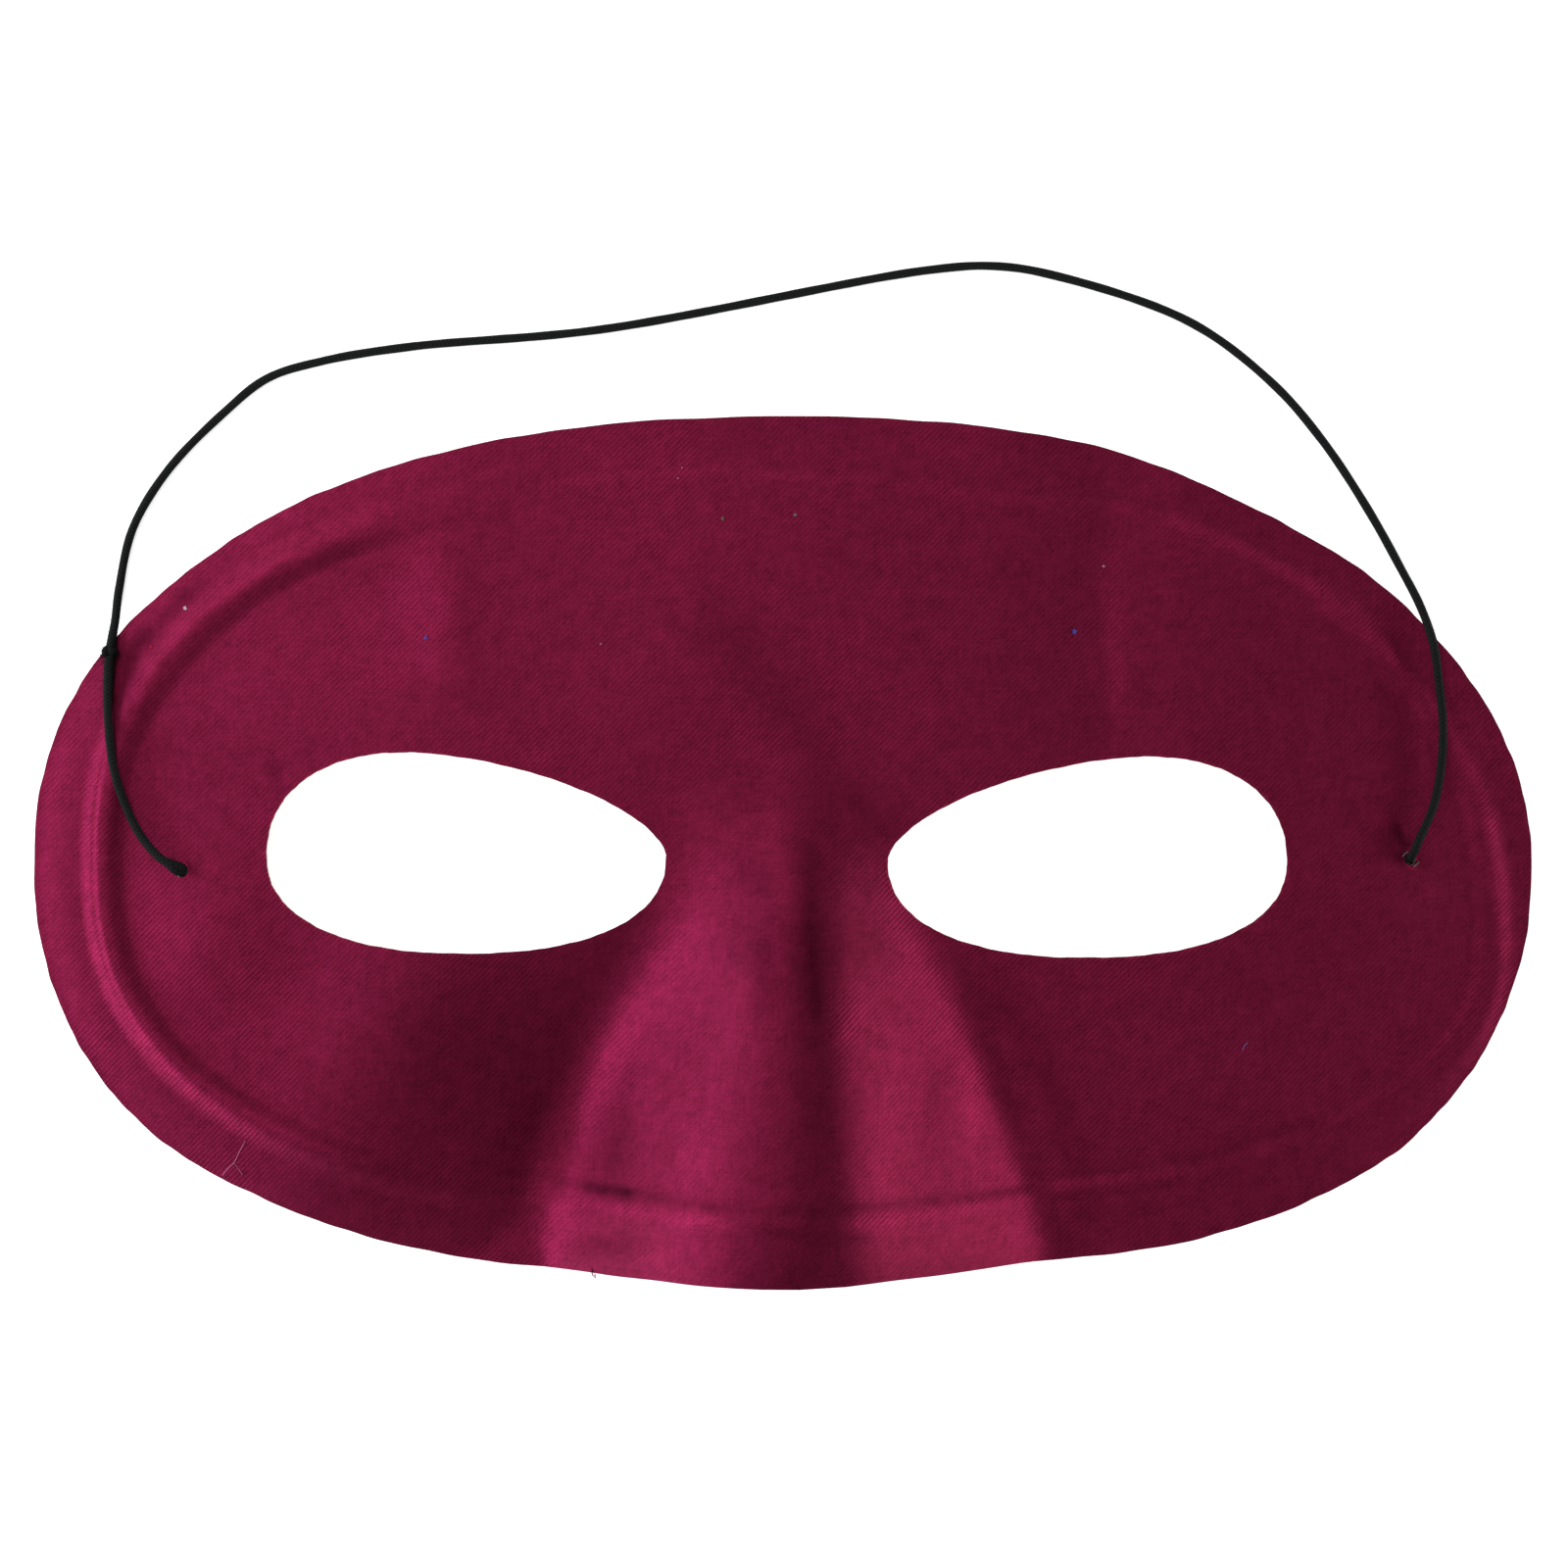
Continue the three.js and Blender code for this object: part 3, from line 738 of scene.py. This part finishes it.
def underside(x, y):
    """Height of the shell's underside above the table"""
    level = line_level(BEAD, x, y)
    to_bead = np.maximum(level - 1, 0)
    to_cut = np.maximum(1 - line_level(CUT, x, y), 0)
    outwards = to_bead / np.maximum(to_bead + to_cut, 1e-9)
    middle_rise = sum(FLANGE_RISES) / len(FLANGE_RISES)
    uneven = round_the_bead(FLANGE_RISES, x, y) - middle_rise
    rise = middle_rise + uneven * smooth(level / RISE_EVEN_WITHIN)
    height = wings(x) + rise * (1 - outwards**FLANGE_POWER)
    height += FIELD_CROWN * (1 - np.minimum(level, 1) ** FIELD_SHARPNESS)
    from_bead = line_distance(BEAD, x, y)
    height += round_the_bead(BEAD_HEIGHTS, x, y) * rib(from_bead, BEAD_HALF_SPAN)
    turn = direction(BEAD, x, y)
    height += fold_beside_bead(CREASE, from_bead, turn)
    height += fold_beside_bead(LEFT_GROOVE, from_bead, turn % 360)
    height += nose_and_cheeks(x, y)
    for brow_x, brow_y in BROWS:
        off = np.hypot(x - brow_x, y - brow_y) / BROW_SPAN
        height += BROW_HEIGHT * np.exp(-off * off)
    height -= FROWN_DEPTH * frown(x, y)
    step = FOREHEAD_STEP
    down_step = smooth((x - step["from_x"]) / step["width"])
    height -= step["drop"] * smooth((y - step["from_y"]) / step["over"]) * down_step
    for dent_x, dent_y, depth, span_x, span_y in DENTS:
        height -= depth * np.exp(-(((x - dent_x) / span_x) ** 2) - ((y - dent_y) / span_y) ** 2)
    return above_zero(height, TABLE_ROUND)


def painted_stroke(x, y, start, end, span):
    """1 on the line from start to end, fading over the span beside it and past its ends"""
    run_x, run_y = end[0] - start[0], end[1] - start[1]
    along = (x - start[0]) * run_x + (y - start[1]) * run_y
    t = np.clip(along / (run_x * run_x + run_y * run_y), 0, 1)
    off = np.hypot(x - start[0] - t * run_x, y - start[1] - t * run_y) / span
    return np.exp(-off * off)


def painted_shade(x, y):
    """How much shade is painted on the cloth, from 0 to 1, where strokes below 0 paint highlights
    """
    crest = np.exp(-(((x - NOSE_CREST_X) / CREST_SPAN) ** 2))
    crest = crest * smooth((NOSE_START_Y - y) / NOSE_EASE)
    up_flank = nose_half_width(y) - np.abs(x - NOSE_FOOT_X)
    flanks = smooth(up_flank / FLANK_EASE) * smooth((NOSE_FOOT_Y - y) / FLANK_EASE)
    share = PAINTED_SHADE_EVERYWHERE + PAINTED_SHADE_CREST * crest
    share = share + PAINTED_SHADE_FURROW * frown(x, y) + PAINTED_SHADE_FLANKS * flanks
    # Strokes of painted shade, and of painted highlight where below 0
    for start, end, span, duller in PAINTED_SHADE_AND_HIGHLIGHT_MARKS:
        share += duller * painted_stroke(x, y, start, end, span)
    return np.clip(share, 0, 1)


def wandered(x, y, turn, waves, later=0):
    """A place on a cut line, moved as the blade strayed at that turn"""
    for count, amount, phase in waves:
        x = x + amount * np.cos(turn) * np.sin(count * turn + phase + later)
        y = y + amount * np.sin(turn) * np.sin(count * turn + phase + later)
    return x, y


def blank_point(turn, inwards):
    """A point of the blank

    Inwards runs from 0 at the cut edge over the bead to 1 at the spine between the eyes.
    """
    crest_x, crest_y = line_point(BEAD, turn)
    level = line_level(CUT, crest_x, crest_y)
    cut_x = CUT["x"] + (crest_x - CUT["x"]) / level
    cut_y = CUT["y"] + (crest_y - CUT["y"]) / level
    cut_x, cut_y = wandered(cut_x, cut_y, turn, CUT_WANDER)
    over_bead = np.clip((inwards - FLANGE_SHARE) / (BEAD_SHARE - FLANGE_SHARE), 0, 1)
    rim_width = np.hypot(cut_x - crest_x, cut_y - crest_y)
    outer_span = np.minimum(BEAD_HALF_SPAN, BEAD_PART_OF_RIM * rim_width)
    bead_x, bead_y = line_point(BEAD, turn, outer_span - (outer_span + BEAD_HALF_SPAN) * over_bead)
    over_flange = np.clip(inwards / FLANGE_SHARE, 0, 1)
    over_field = np.clip((inwards - BEAD_SHARE) / (1 - BEAD_SHARE), 0, 1)
    x = cut_x + (bead_x - cut_x) * over_flange
    y = cut_y + (bead_y - cut_y) * over_flange
    spine_x = RELIEF_X + SPINE_HALF_LENGTH * np.cos(turn)
    return x + (spine_x - x) * over_field, y * (1 - over_field)


def pressed_blank(name):
    """The face of the shell as one sheet: a grid wrapped round the mask, its two ends welded"""
    start_clean()
    bpy.ops.mesh.primitive_grid_add(x_subdivisions=SECTORS, y_subdivisions=ROWS, size=2)
    sheet = bpy.context.object
    sheet.name = name
    flat = np.empty(len(sheet.data.vertices) * 3)
    sheet.data.vertices.foreach_get("co", flat)
    flat = flat.reshape(-1, 3)
    x, y = blank_point((flat[:, 0] + 1) * math.pi, (flat[:, 1] + 1) / 2)
    place = np.stack([x, y, underside(x, y) + SHELL_THICKNESS], axis=1) * MM
    sheet.data.vertices.foreach_set("co", place.ravel())
    bpy.ops.object.mode_set(mode="EDIT")
    bpy.ops.mesh.select_all(action="SELECT")
    bpy.ops.mesh.remove_doubles(threshold=WELD_WITHIN * MM)
    bpy.ops.mesh.normals_make_consistent(inside=False)
    bpy.ops.object.mode_set(mode="OBJECT")
    if sheet.data.polygons[0].normal.z < 0:
        sheet.data.flip_normals()
    return sheet


def thicken(sheet, thickness):
    start_clean()
    sheet.select_set(True)
    bpy.context.view_layer.objects.active = sheet
    wall = sheet.modifiers.new("wall", "SOLIDIFY")
    wall.thickness = thickness * MM
    wall.offset = -1
    bpy.ops.object.modifier_apply(modifier=wall.name)


# The cutter: two almonds for the eyes, each the other's mirror, and two punches for the elastic,
# the right one tighter. It is a tool and not a piece, so it is taken away once the layers are cut.
EYE_MIDDLES = {-1: (-42, -1.15), 1: (40.35, -1.7)}
EYE_HALF_LENGTH = 26.5
EYE_PEAK_OFFSET = 7.8
EYE_UPPER = 13.7
EYE_LOWER = 12.9
EYE_UPPER_OUTER = 2.23
EYE_UPPER_INNER = 1.64
EYE_LOWER_FULL = 2.3
EYE_POINTS = 360
EYE_WANDER = [(23, 0.025, 2), (37, 0.02, 0), (71, 0.015, 1)]
HOLE_DIAMETERS = {"left": 1.9, "right": 1.5}
HOLE_SIDES = 32
CUTTER_HEIGHT = 60
CUT_EDGE_ANGLE = 35


def almond(turn):
    c, s = math.cos(turn), math.sin(turn)
    if s < 0:
        return (
            EYE_HALF_LENGTH * signed_power(c, 2 / EYE_LOWER_FULL),
            EYE_LOWER * signed_power(s, 2 / EYE_LOWER_FULL),
        )
    n = EYE_UPPER_OUTER if c >= 0 else EYE_UPPER_INNER
    reach = EYE_HALF_LENGTH - EYE_PEAK_OFFSET if c >= 0 else EYE_HALF_LENGTH + EYE_PEAK_OFFSET
    return EYE_PEAK_OFFSET + reach * signed_power(c, 2 / n), EYE_UPPER * signed_power(s, 2 / n)


def eye_punch(side):
    start_clean()
    bpy.ops.mesh.primitive_circle_add(vertices=EYE_POINTS, radius=1, fill_type="NGON")
    punch = bpy.context.object
    for i, corner in enumerate(punch.data.vertices):
        turn = 2 * math.pi * i / EYE_POINTS
        x, y = wandered(*almond(turn), turn, EYE_WANDER, side)
        middle_x, middle_y = EYE_MIDDLES[side]
        corner.co = ((middle_x + side * x) * MM, (middle_y + y) * MM, -CUTTER_HEIGHT / 4 * MM)
    bpy.ops.object.mode_set(mode="EDIT")
    bpy.ops.mesh.select_all(action="SELECT")
    bpy.ops.mesh.extrude_region_move(TRANSFORM_OT_translate={"value": (0, 0, CUTTER_HEIGHT * MM)})
    bpy.ops.mesh.select_all(action="SELECT")
    bpy.ops.mesh.normals_make_consistent(inside=False)
    bpy.ops.object.mode_set(mode="OBJECT")
    return punch


def cord_punch(side):
    x, y = KNOT_HOLES[side]
    start_clean()
    bpy.ops.mesh.primitive_cylinder_add(
        vertices=HOLE_SIDES,
        radius=HOLE_DIAMETERS[side] / 2 * MM,
        depth=CUTTER_HEIGHT * MM,
        location=(x * MM, y * MM, CUTTER_HEIGHT / 4 * MM),
    )
    punch = bpy.context.object
    bpy.ops.object.transform_apply(location=True, rotation=True, scale=True)
    return punch


punches = [eye_punch(-1), eye_punch(1)]
punches += [cord_punch(side) for side in KNOT_HOLES]
start_clean()
for punch in punches:
    punch.select_set(True)
bpy.context.view_layer.objects.active = punches[0]
bpy.ops.object.join()
cutter = punches[0]
cutter.name = "cutter"


def die_cut(layer):
    start_clean()
    layer.select_set(True)
    bpy.context.view_layer.objects.active = layer
    cut = layer.modifiers.new("die_cut", "BOOLEAN")
    cut.operation = "DIFFERENCE"
    cut.object = cutter
    cut.solver = "EXACT"
    bpy.ops.object.modifier_apply(modifier=cut.name)
    bpy.ops.object.shade_smooth_by_angle(angle=math.radians(CUT_EDGE_ANGLE))


# The cloth face: burgundy sateen, 0.25 mm thick, whose weave shows as fine diagonal lines.
# It is glued down all over, so it follows the mould, and its cut edge is flush with the backing.
CLOTH_THICKNESS = 0.25
GLUE_GAP = 0.01
CLOTH_DARK = (0.113, 0.006, 0.0241, 1)
CLOTH_LIGHT = (0.34, 0.0178, 0.076, 1)
LINE_PITCH = 0.52
LINE_ANGLE = 45
LINE_SHARE = 0.32

# Noises that bend the diagonal lines: features per metre and how many radians they shift them
LINE_DRIFTS = [(25.0, 9.0), (260.0, 2.5)]

# The patches in which the lines are clear, which are fewer where shade is painted
CLEAR_PATCHES = {"scale": 55.0, "gain": 3.0, "less": 0.1, "less_if_painted_shade": 2.6, "least": 0.05}

# Streaks of the floats and of the yarns: how fine they are per metre, and their share in the shade
FLOATS = {"along": 500.0, "across": 2400.0, "share": 0.45}
YARNS = {"along": 260.0, "across": 3600.0, "share": 0.4}

# Even noises in the dye: features per metre, detail, roughness and share in the shade
DYE = [(3200.0, 2.0, 0.5, 0.7), (420.0, 5.0, 0.7, 0.75), (60.0, 3.0, 0.6, 0.2)]
WEAVE_RELIEF = 0.05


def mark_painted_shade(sheet):
    """Keeps at each corner of the sheet how much shade is painted on it"""
    places = np.empty(len(sheet.data.vertices) * 3)
    sheet.data.vertices.foreach_get("co", places)
    places = places.reshape(-1, 3) / MM
    shade_share = sheet.data.attributes.new("painted_shade", "FLOAT", "POINT")
    shade_share.data.foreach_set("value", painted_shade(places[:, 0], places[:, 1]))


cloth = pressed_blank("sateen_face")
backing = cloth.copy()
backing.data = cloth.data.copy()
bpy.context.collection.objects.link(backing)
mark_painted_shade(cloth)
thicken(cloth, CLOTH_THICKNESS)
die_cut(cloth)


def burgundy_sateen():
    """Floats of a sateen weave lie on the diagonal, over finer yarns and a mottled dye, darkened
    by painted shade
    """
    nodes = Nodes("burgundy_sateen")
    place = nodes.add("TexCoord", out="Object")
    x, y = nodes.x_and_y(place)
    shade_share = nodes.add("Attribute", out="Fac", attribute_name="painted_shade")

    def streaks(first, second):
        """Noise drawn out in one direction"""
        spread = nodes.add("CombineXYZ", {0: first, 1: second, 2: 0.0})
        return nodes.noise(spread, 1.0, 2.0, 0.6)

    angle = math.radians(LINE_ANGLE)
    across = y * math.cos(angle) - x * math.sin(angle)
    along = x * math.cos(angle) + y * math.sin(angle)
    turns = across * (2 * math.pi / (LINE_PITCH * MM))
    for scale, shift in LINE_DRIFTS:
        turns = turns + nodes.noise(place, scale, 2.0) * shift
    lines = turns.wave()
    patches = nodes.noise(place, CLEAR_PATCHES["scale"], 3.0, 0.6)
    clear = patches * CLEAR_PATCHES["gain"] - CLEAR_PATCHES["less"]
    clear = clear - shade_share * CLEAR_PATCHES["less_if_painted_shade"]
    clear = nodes.add("Clamp", {0: clear, 1: CLEAR_PATCHES["least"], 2: 1.0})
    floats = streaks(across * FLOATS["across"], along * FLOATS["along"])
    weft = streaks(x * YARNS["along"], y * YARNS["across"])
    warp = streaks(x * YARNS["across"], y * YARNS["along"])
    weave = (lines - 0.5) * clear * LINE_SHARE + (floats - 0.5) * FLOATS["share"]
    weave = weave + (weft - 0.5) * YARNS["share"] + (warp - 0.5) * YARNS["share"]
    for scale, detail, roughness, share in DYE:
        weave = weave + (nodes.noise(place, scale, detail, roughness) - 0.5) * share
    colour = nodes.mix(weave + 0.5, CLOTH_DARK, CLOTH_LIGHT)
    # Painted shade: the colour darkens towards black by the painted share
    colour = nodes.mix(shade_share, colour, (0.0, 0.0, 0.0, 1))
    height = lines * clear + floats * 0.5
    bump = nodes.add("Bump", {"Height": height, "Distance": WEAVE_RELIEF * MM, "Strength": 0.5})
    nodes.set(Base_Color=colour, Metallic=0.78, Roughness=0.54, Specular_IOR_Level=0.0)
    nodes.set(Normal=bump)
    return nodes.material


cloth.data.materials.clear()
cloth.data.materials.append(burgundy_sateen())
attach(cloth, "root")
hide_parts("mask_shell")


# Lint: specks, a hair and bits of thread that lie on the cloth, and the fibres that the cutting
# left in the right hole's rim and at the lower edge. None of it is sewn or glued on.
LINT_CLEARANCE = 0.03
LINT_MOTTLE_SCALE = 5000.0
HAIRS_A_SPECK = 9
SPECK_HAIR_RADIUS = 0.05
SPECK_LOFT = 0.06
SPECK_MESS = 0.3

# Each speck's middle, how far its hairs reach, and its colour
SPECKS = [
    (-47.3, 27.7, 0.28, (0.12, 0.07, 0.35, 1)),
    (38.7, 28.6, 0.32, (0.1, 0.08, 0.4, 1)),
    (-8, 43.5, 0.24, (0.14, 0.12, 0.1, 1)),
    (1.6, 44, 0.26, (0.2, 0.13, 0.16, 1)),
    (-79.6, 31.8, 0.28, (0.6, 0.5, 0.52, 1)),
    (-24.1, 26.9, 0.18, (0.5, 0.1, 0.25, 1)),
    (-84.2, 26.7, 0.13, (0.6, 0.02, 0.02, 1)),
    (42.6, 37.3, 0.18, (0.5, 0.3, 0.38, 1)),
    (-13.9, 48.9, 0.15, (0.5, 0.15, 0.28, 1)),
    (-13.4, 50.3, 0.15, (0.5, 0.15, 0.28, 1)),
]

# Each thread's route, radius and colour
THREADS = [
    (
        [(-71.4, -39), (-72.3, -40.6), (-73, -42), (-73.9, -42.8), (-74.7, -43.8)],
        0.05,
        (0.6, 0.16, 0.3, 1),
    ),
    ([(-73, -42), (-72.4, -42.9), (-71.9, -43.6)], 0.04, (0.5, 0.13, 0.25, 1)),
    ([(60.9, -26.9), (61.2, -26.3), (61.6, -25.9)], 0.06, (0.2, 0.1, 0.35, 1)),
    ([(-25.4, -55.7), (-25.2, -56.6), (-24.8, -56.9), (-24.9, -56.4)], 0.08, (0.2, 0.02, 0.06, 1)),
    ([(82.4, -1.3), (82.7, -0.9), (83.1, -0.7)], 0.1, (0.14, 0.12, 0.125, 1)),
    ([(83.9, -2.6), (84.3, -2.3), (84.6, -2)], 0.1, (0.14, 0.12, 0.125, 1)),
]


def lint(name, lines, colour):
    """Loose fibre of one colour, fuzzy and matt"""
    made = tubes(name, lines, 1)
    nodes = Nodes(name)
    mottle = nodes.noise(nodes.add("TexCoord", out="Object"), LINT_MOTTLE_SCALE, 2.0)
    shade = tuple(c * 0.5 for c in colour[:3]) + (1,)
    colour = nodes.mix(mottle, shade, colour)
    nodes.set(Base_Color=colour, Roughness=0.9, Specular_IOR_Level=0.1)
    made.data.materials.append(nodes.material)
    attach(made, "root")


def on_cloth(x, y, lift):
    height = underside(np.array([float(x)]), np.array([float(y)]))[0]
    return (x, y, float(height) + SHELL_THICKNESS + lift)


lint_chance = random.Random(5)
for i, (x, y, size, colour) in enumerate(SPECKS):
    hairs = []
    for _ in range(HAIRS_A_SPECK):
        turn = lint_chance.uniform(0, math.pi)
        reach = size * lint_chance.uniform(0.5, 1)
        hair = []
        for along in (-1, 0, 1):
            mess_x = lint_chance.uniform(-SPECK_MESS, SPECK_MESS)
            mess_y = lint_chance.uniform(-SPECK_MESS, SPECK_MESS)
            off_x = along * reach * math.cos(turn) + mess_x * size
            off_y = along * reach * math.sin(turn) + mess_y * size
            place = on_cloth(x + off_x, y + off_y, LINT_CLEARANCE + SPECK_LOFT)
            hair.append((place, SPECK_HAIR_RADIUS))
        hairs.append(hair)
    lint(f"speck_{i + 1}", hairs, colour)
for i, (route, radius, colour) in enumerate(THREADS):
    thread = [(on_cloth(x, y, LINT_CLEARANCE + radius), radius) for x, y in route]
    lint(f"loose_thread_{i + 1}", [thread], colour)


# The backing: a stiff off-white buckram under the cloth that holds the pressed shape.
# Only its cut edge and the inside of the mask show it.
BACKING_LIGHT = (0.62, 0.6, 0.56, 1)
BACKING_DARK = (0.42, 0.4, 0.36, 1)
BACKING_PITCH = 0.9
BACKING_RELIEF = 0.1
GRUB_SCALE = 90.0

start_clean()
backing.name = "buckram_backing"
backing.select_set(True)
bpy.context.view_layer.objects.active = backing
bpy.ops.object.mode_set(mode="EDIT")
bpy.ops.mesh.select_all(action="SELECT")
bpy.ops.transform.shrink_fatten(value=-(CLOTH_THICKNESS + GLUE_GAP) * MM)
bpy.ops.object.mode_set(mode="OBJECT")
thicken(backing, SHELL_THICKNESS - CLOTH_THICKNESS - GLUE_GAP)
die_cut(backing)
bpy.data.objects.remove(cutter)


def buckram():
    """Coarse open weave filled with size, matt and a little grubby"""
    nodes = Nodes("sized_buckram")
    place = nodes.add("TexCoord", out="Object")
    x, y = nodes.x_and_y(place)
    turns = 2 * math.pi / (BACKING_PITCH * MM)
    threads = (x * turns).wave() * 0.5 + (y * turns).wave() * 0.5
    grub = nodes.noise(place, GRUB_SCALE, 5.0, 0.6)
    colour = nodes.mix(threads * 0.5 + grub * 0.5, BACKING_DARK, BACKING_LIGHT)
    height = threads * 0.6 + grub * 0.4
    bump = nodes.add("Bump", {"Height": height, "Distance": BACKING_RELIEF * MM, "Strength": 0.6})
    nodes.set(Base_Color=colour, Roughness=0.85, Specular_IOR_Level=0.2, Normal=bump)
    return nodes.material


backing.data.materials.clear()
backing.data.materials.append(buckram())
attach(backing, "root")


# The table and the light: a plain white top that is lit until it is pure white, a strong soft
# light low at each side, and weaker ones higher up on the left, below, at the top left and almost
# overhead. None of it is part of the mask.
TABLE_SIDE = 4000
TABLE_GLOW = 0.6
LIGHT_DISTANCE = 700
COOL = (0.85, 0.85, 1)
ROOM_LIGHT = 0.28

start_clean()
bpy.ops.mesh.primitive_plane_add(size=TABLE_SIDE * MM, location=(0, 0, 0))
table = bpy.context.object
table.name = "table_top"
paper = Nodes("white_paper")
paper.set(Base_Color=(0.9, 0.9, 0.9, 1), Roughness=0.9)
paper.set(Emission_Color=(1, 1, 1, 1), Emission_Strength=TABLE_GLOW)
table.data.materials.append(paper.material)


def soft_light(name, towards, height, size, power, tint=(1, 1, 1)):
    """A softbox that faces the mask, its direction and height in degrees, its size in metres"""
    around, up = math.radians(towards), math.radians(height)
    flat = math.cos(up)
    away = Vector((math.cos(around) * flat, math.sin(around) * flat, math.sin(up)))
    away *= LIGHT_DISTANCE * MM
    bpy.ops.object.light_add(type="AREA", location=away)
    light = bpy.context.object
    light.name = name
    light.data.shape = "RECTANGLE"
    light.data.size = size[0]
    light.data.size_y = size[1]
    light.data.energy = power
    light.data.color = tint
    light.rotation_mode = "QUATERNION"
    light.rotation_quaternion = away.to_track_quat("Z", "Y")


soft_light("left_softbox", towards=184, height=12, size=(1, 0.15), power=6.2, tint=COOL)
soft_light("left_upper_softbox", towards=180, height=30, size=(0.4, 0.15), power=0.57)
soft_light("right_softbox", towards=0, height=8, size=(0.5, 0.15), power=3.4)
soft_light("lower_softbox", towards=270, height=30, size=(0.3, 0.15), power=0.3)
soft_light("upper_left_softbox", towards=125, height=35, size=(0.3, 0.3), power=1.35)
soft_light("overhead_softbox", towards=150, height=74, size=(0.4, 0.4), power=1.05)
world = bpy.data.worlds.new("studio")
bpy.context.scene.world = world
world.use_nodes = True
world.node_tree.nodes["Background"].inputs["Color"].default_value = (1, 1, 1, 1)
world.node_tree.nodes["Background"].inputs["Strength"].default_value = ROOM_LIGHT
bpy.context.scene.view_settings.view_transform = "Standard"
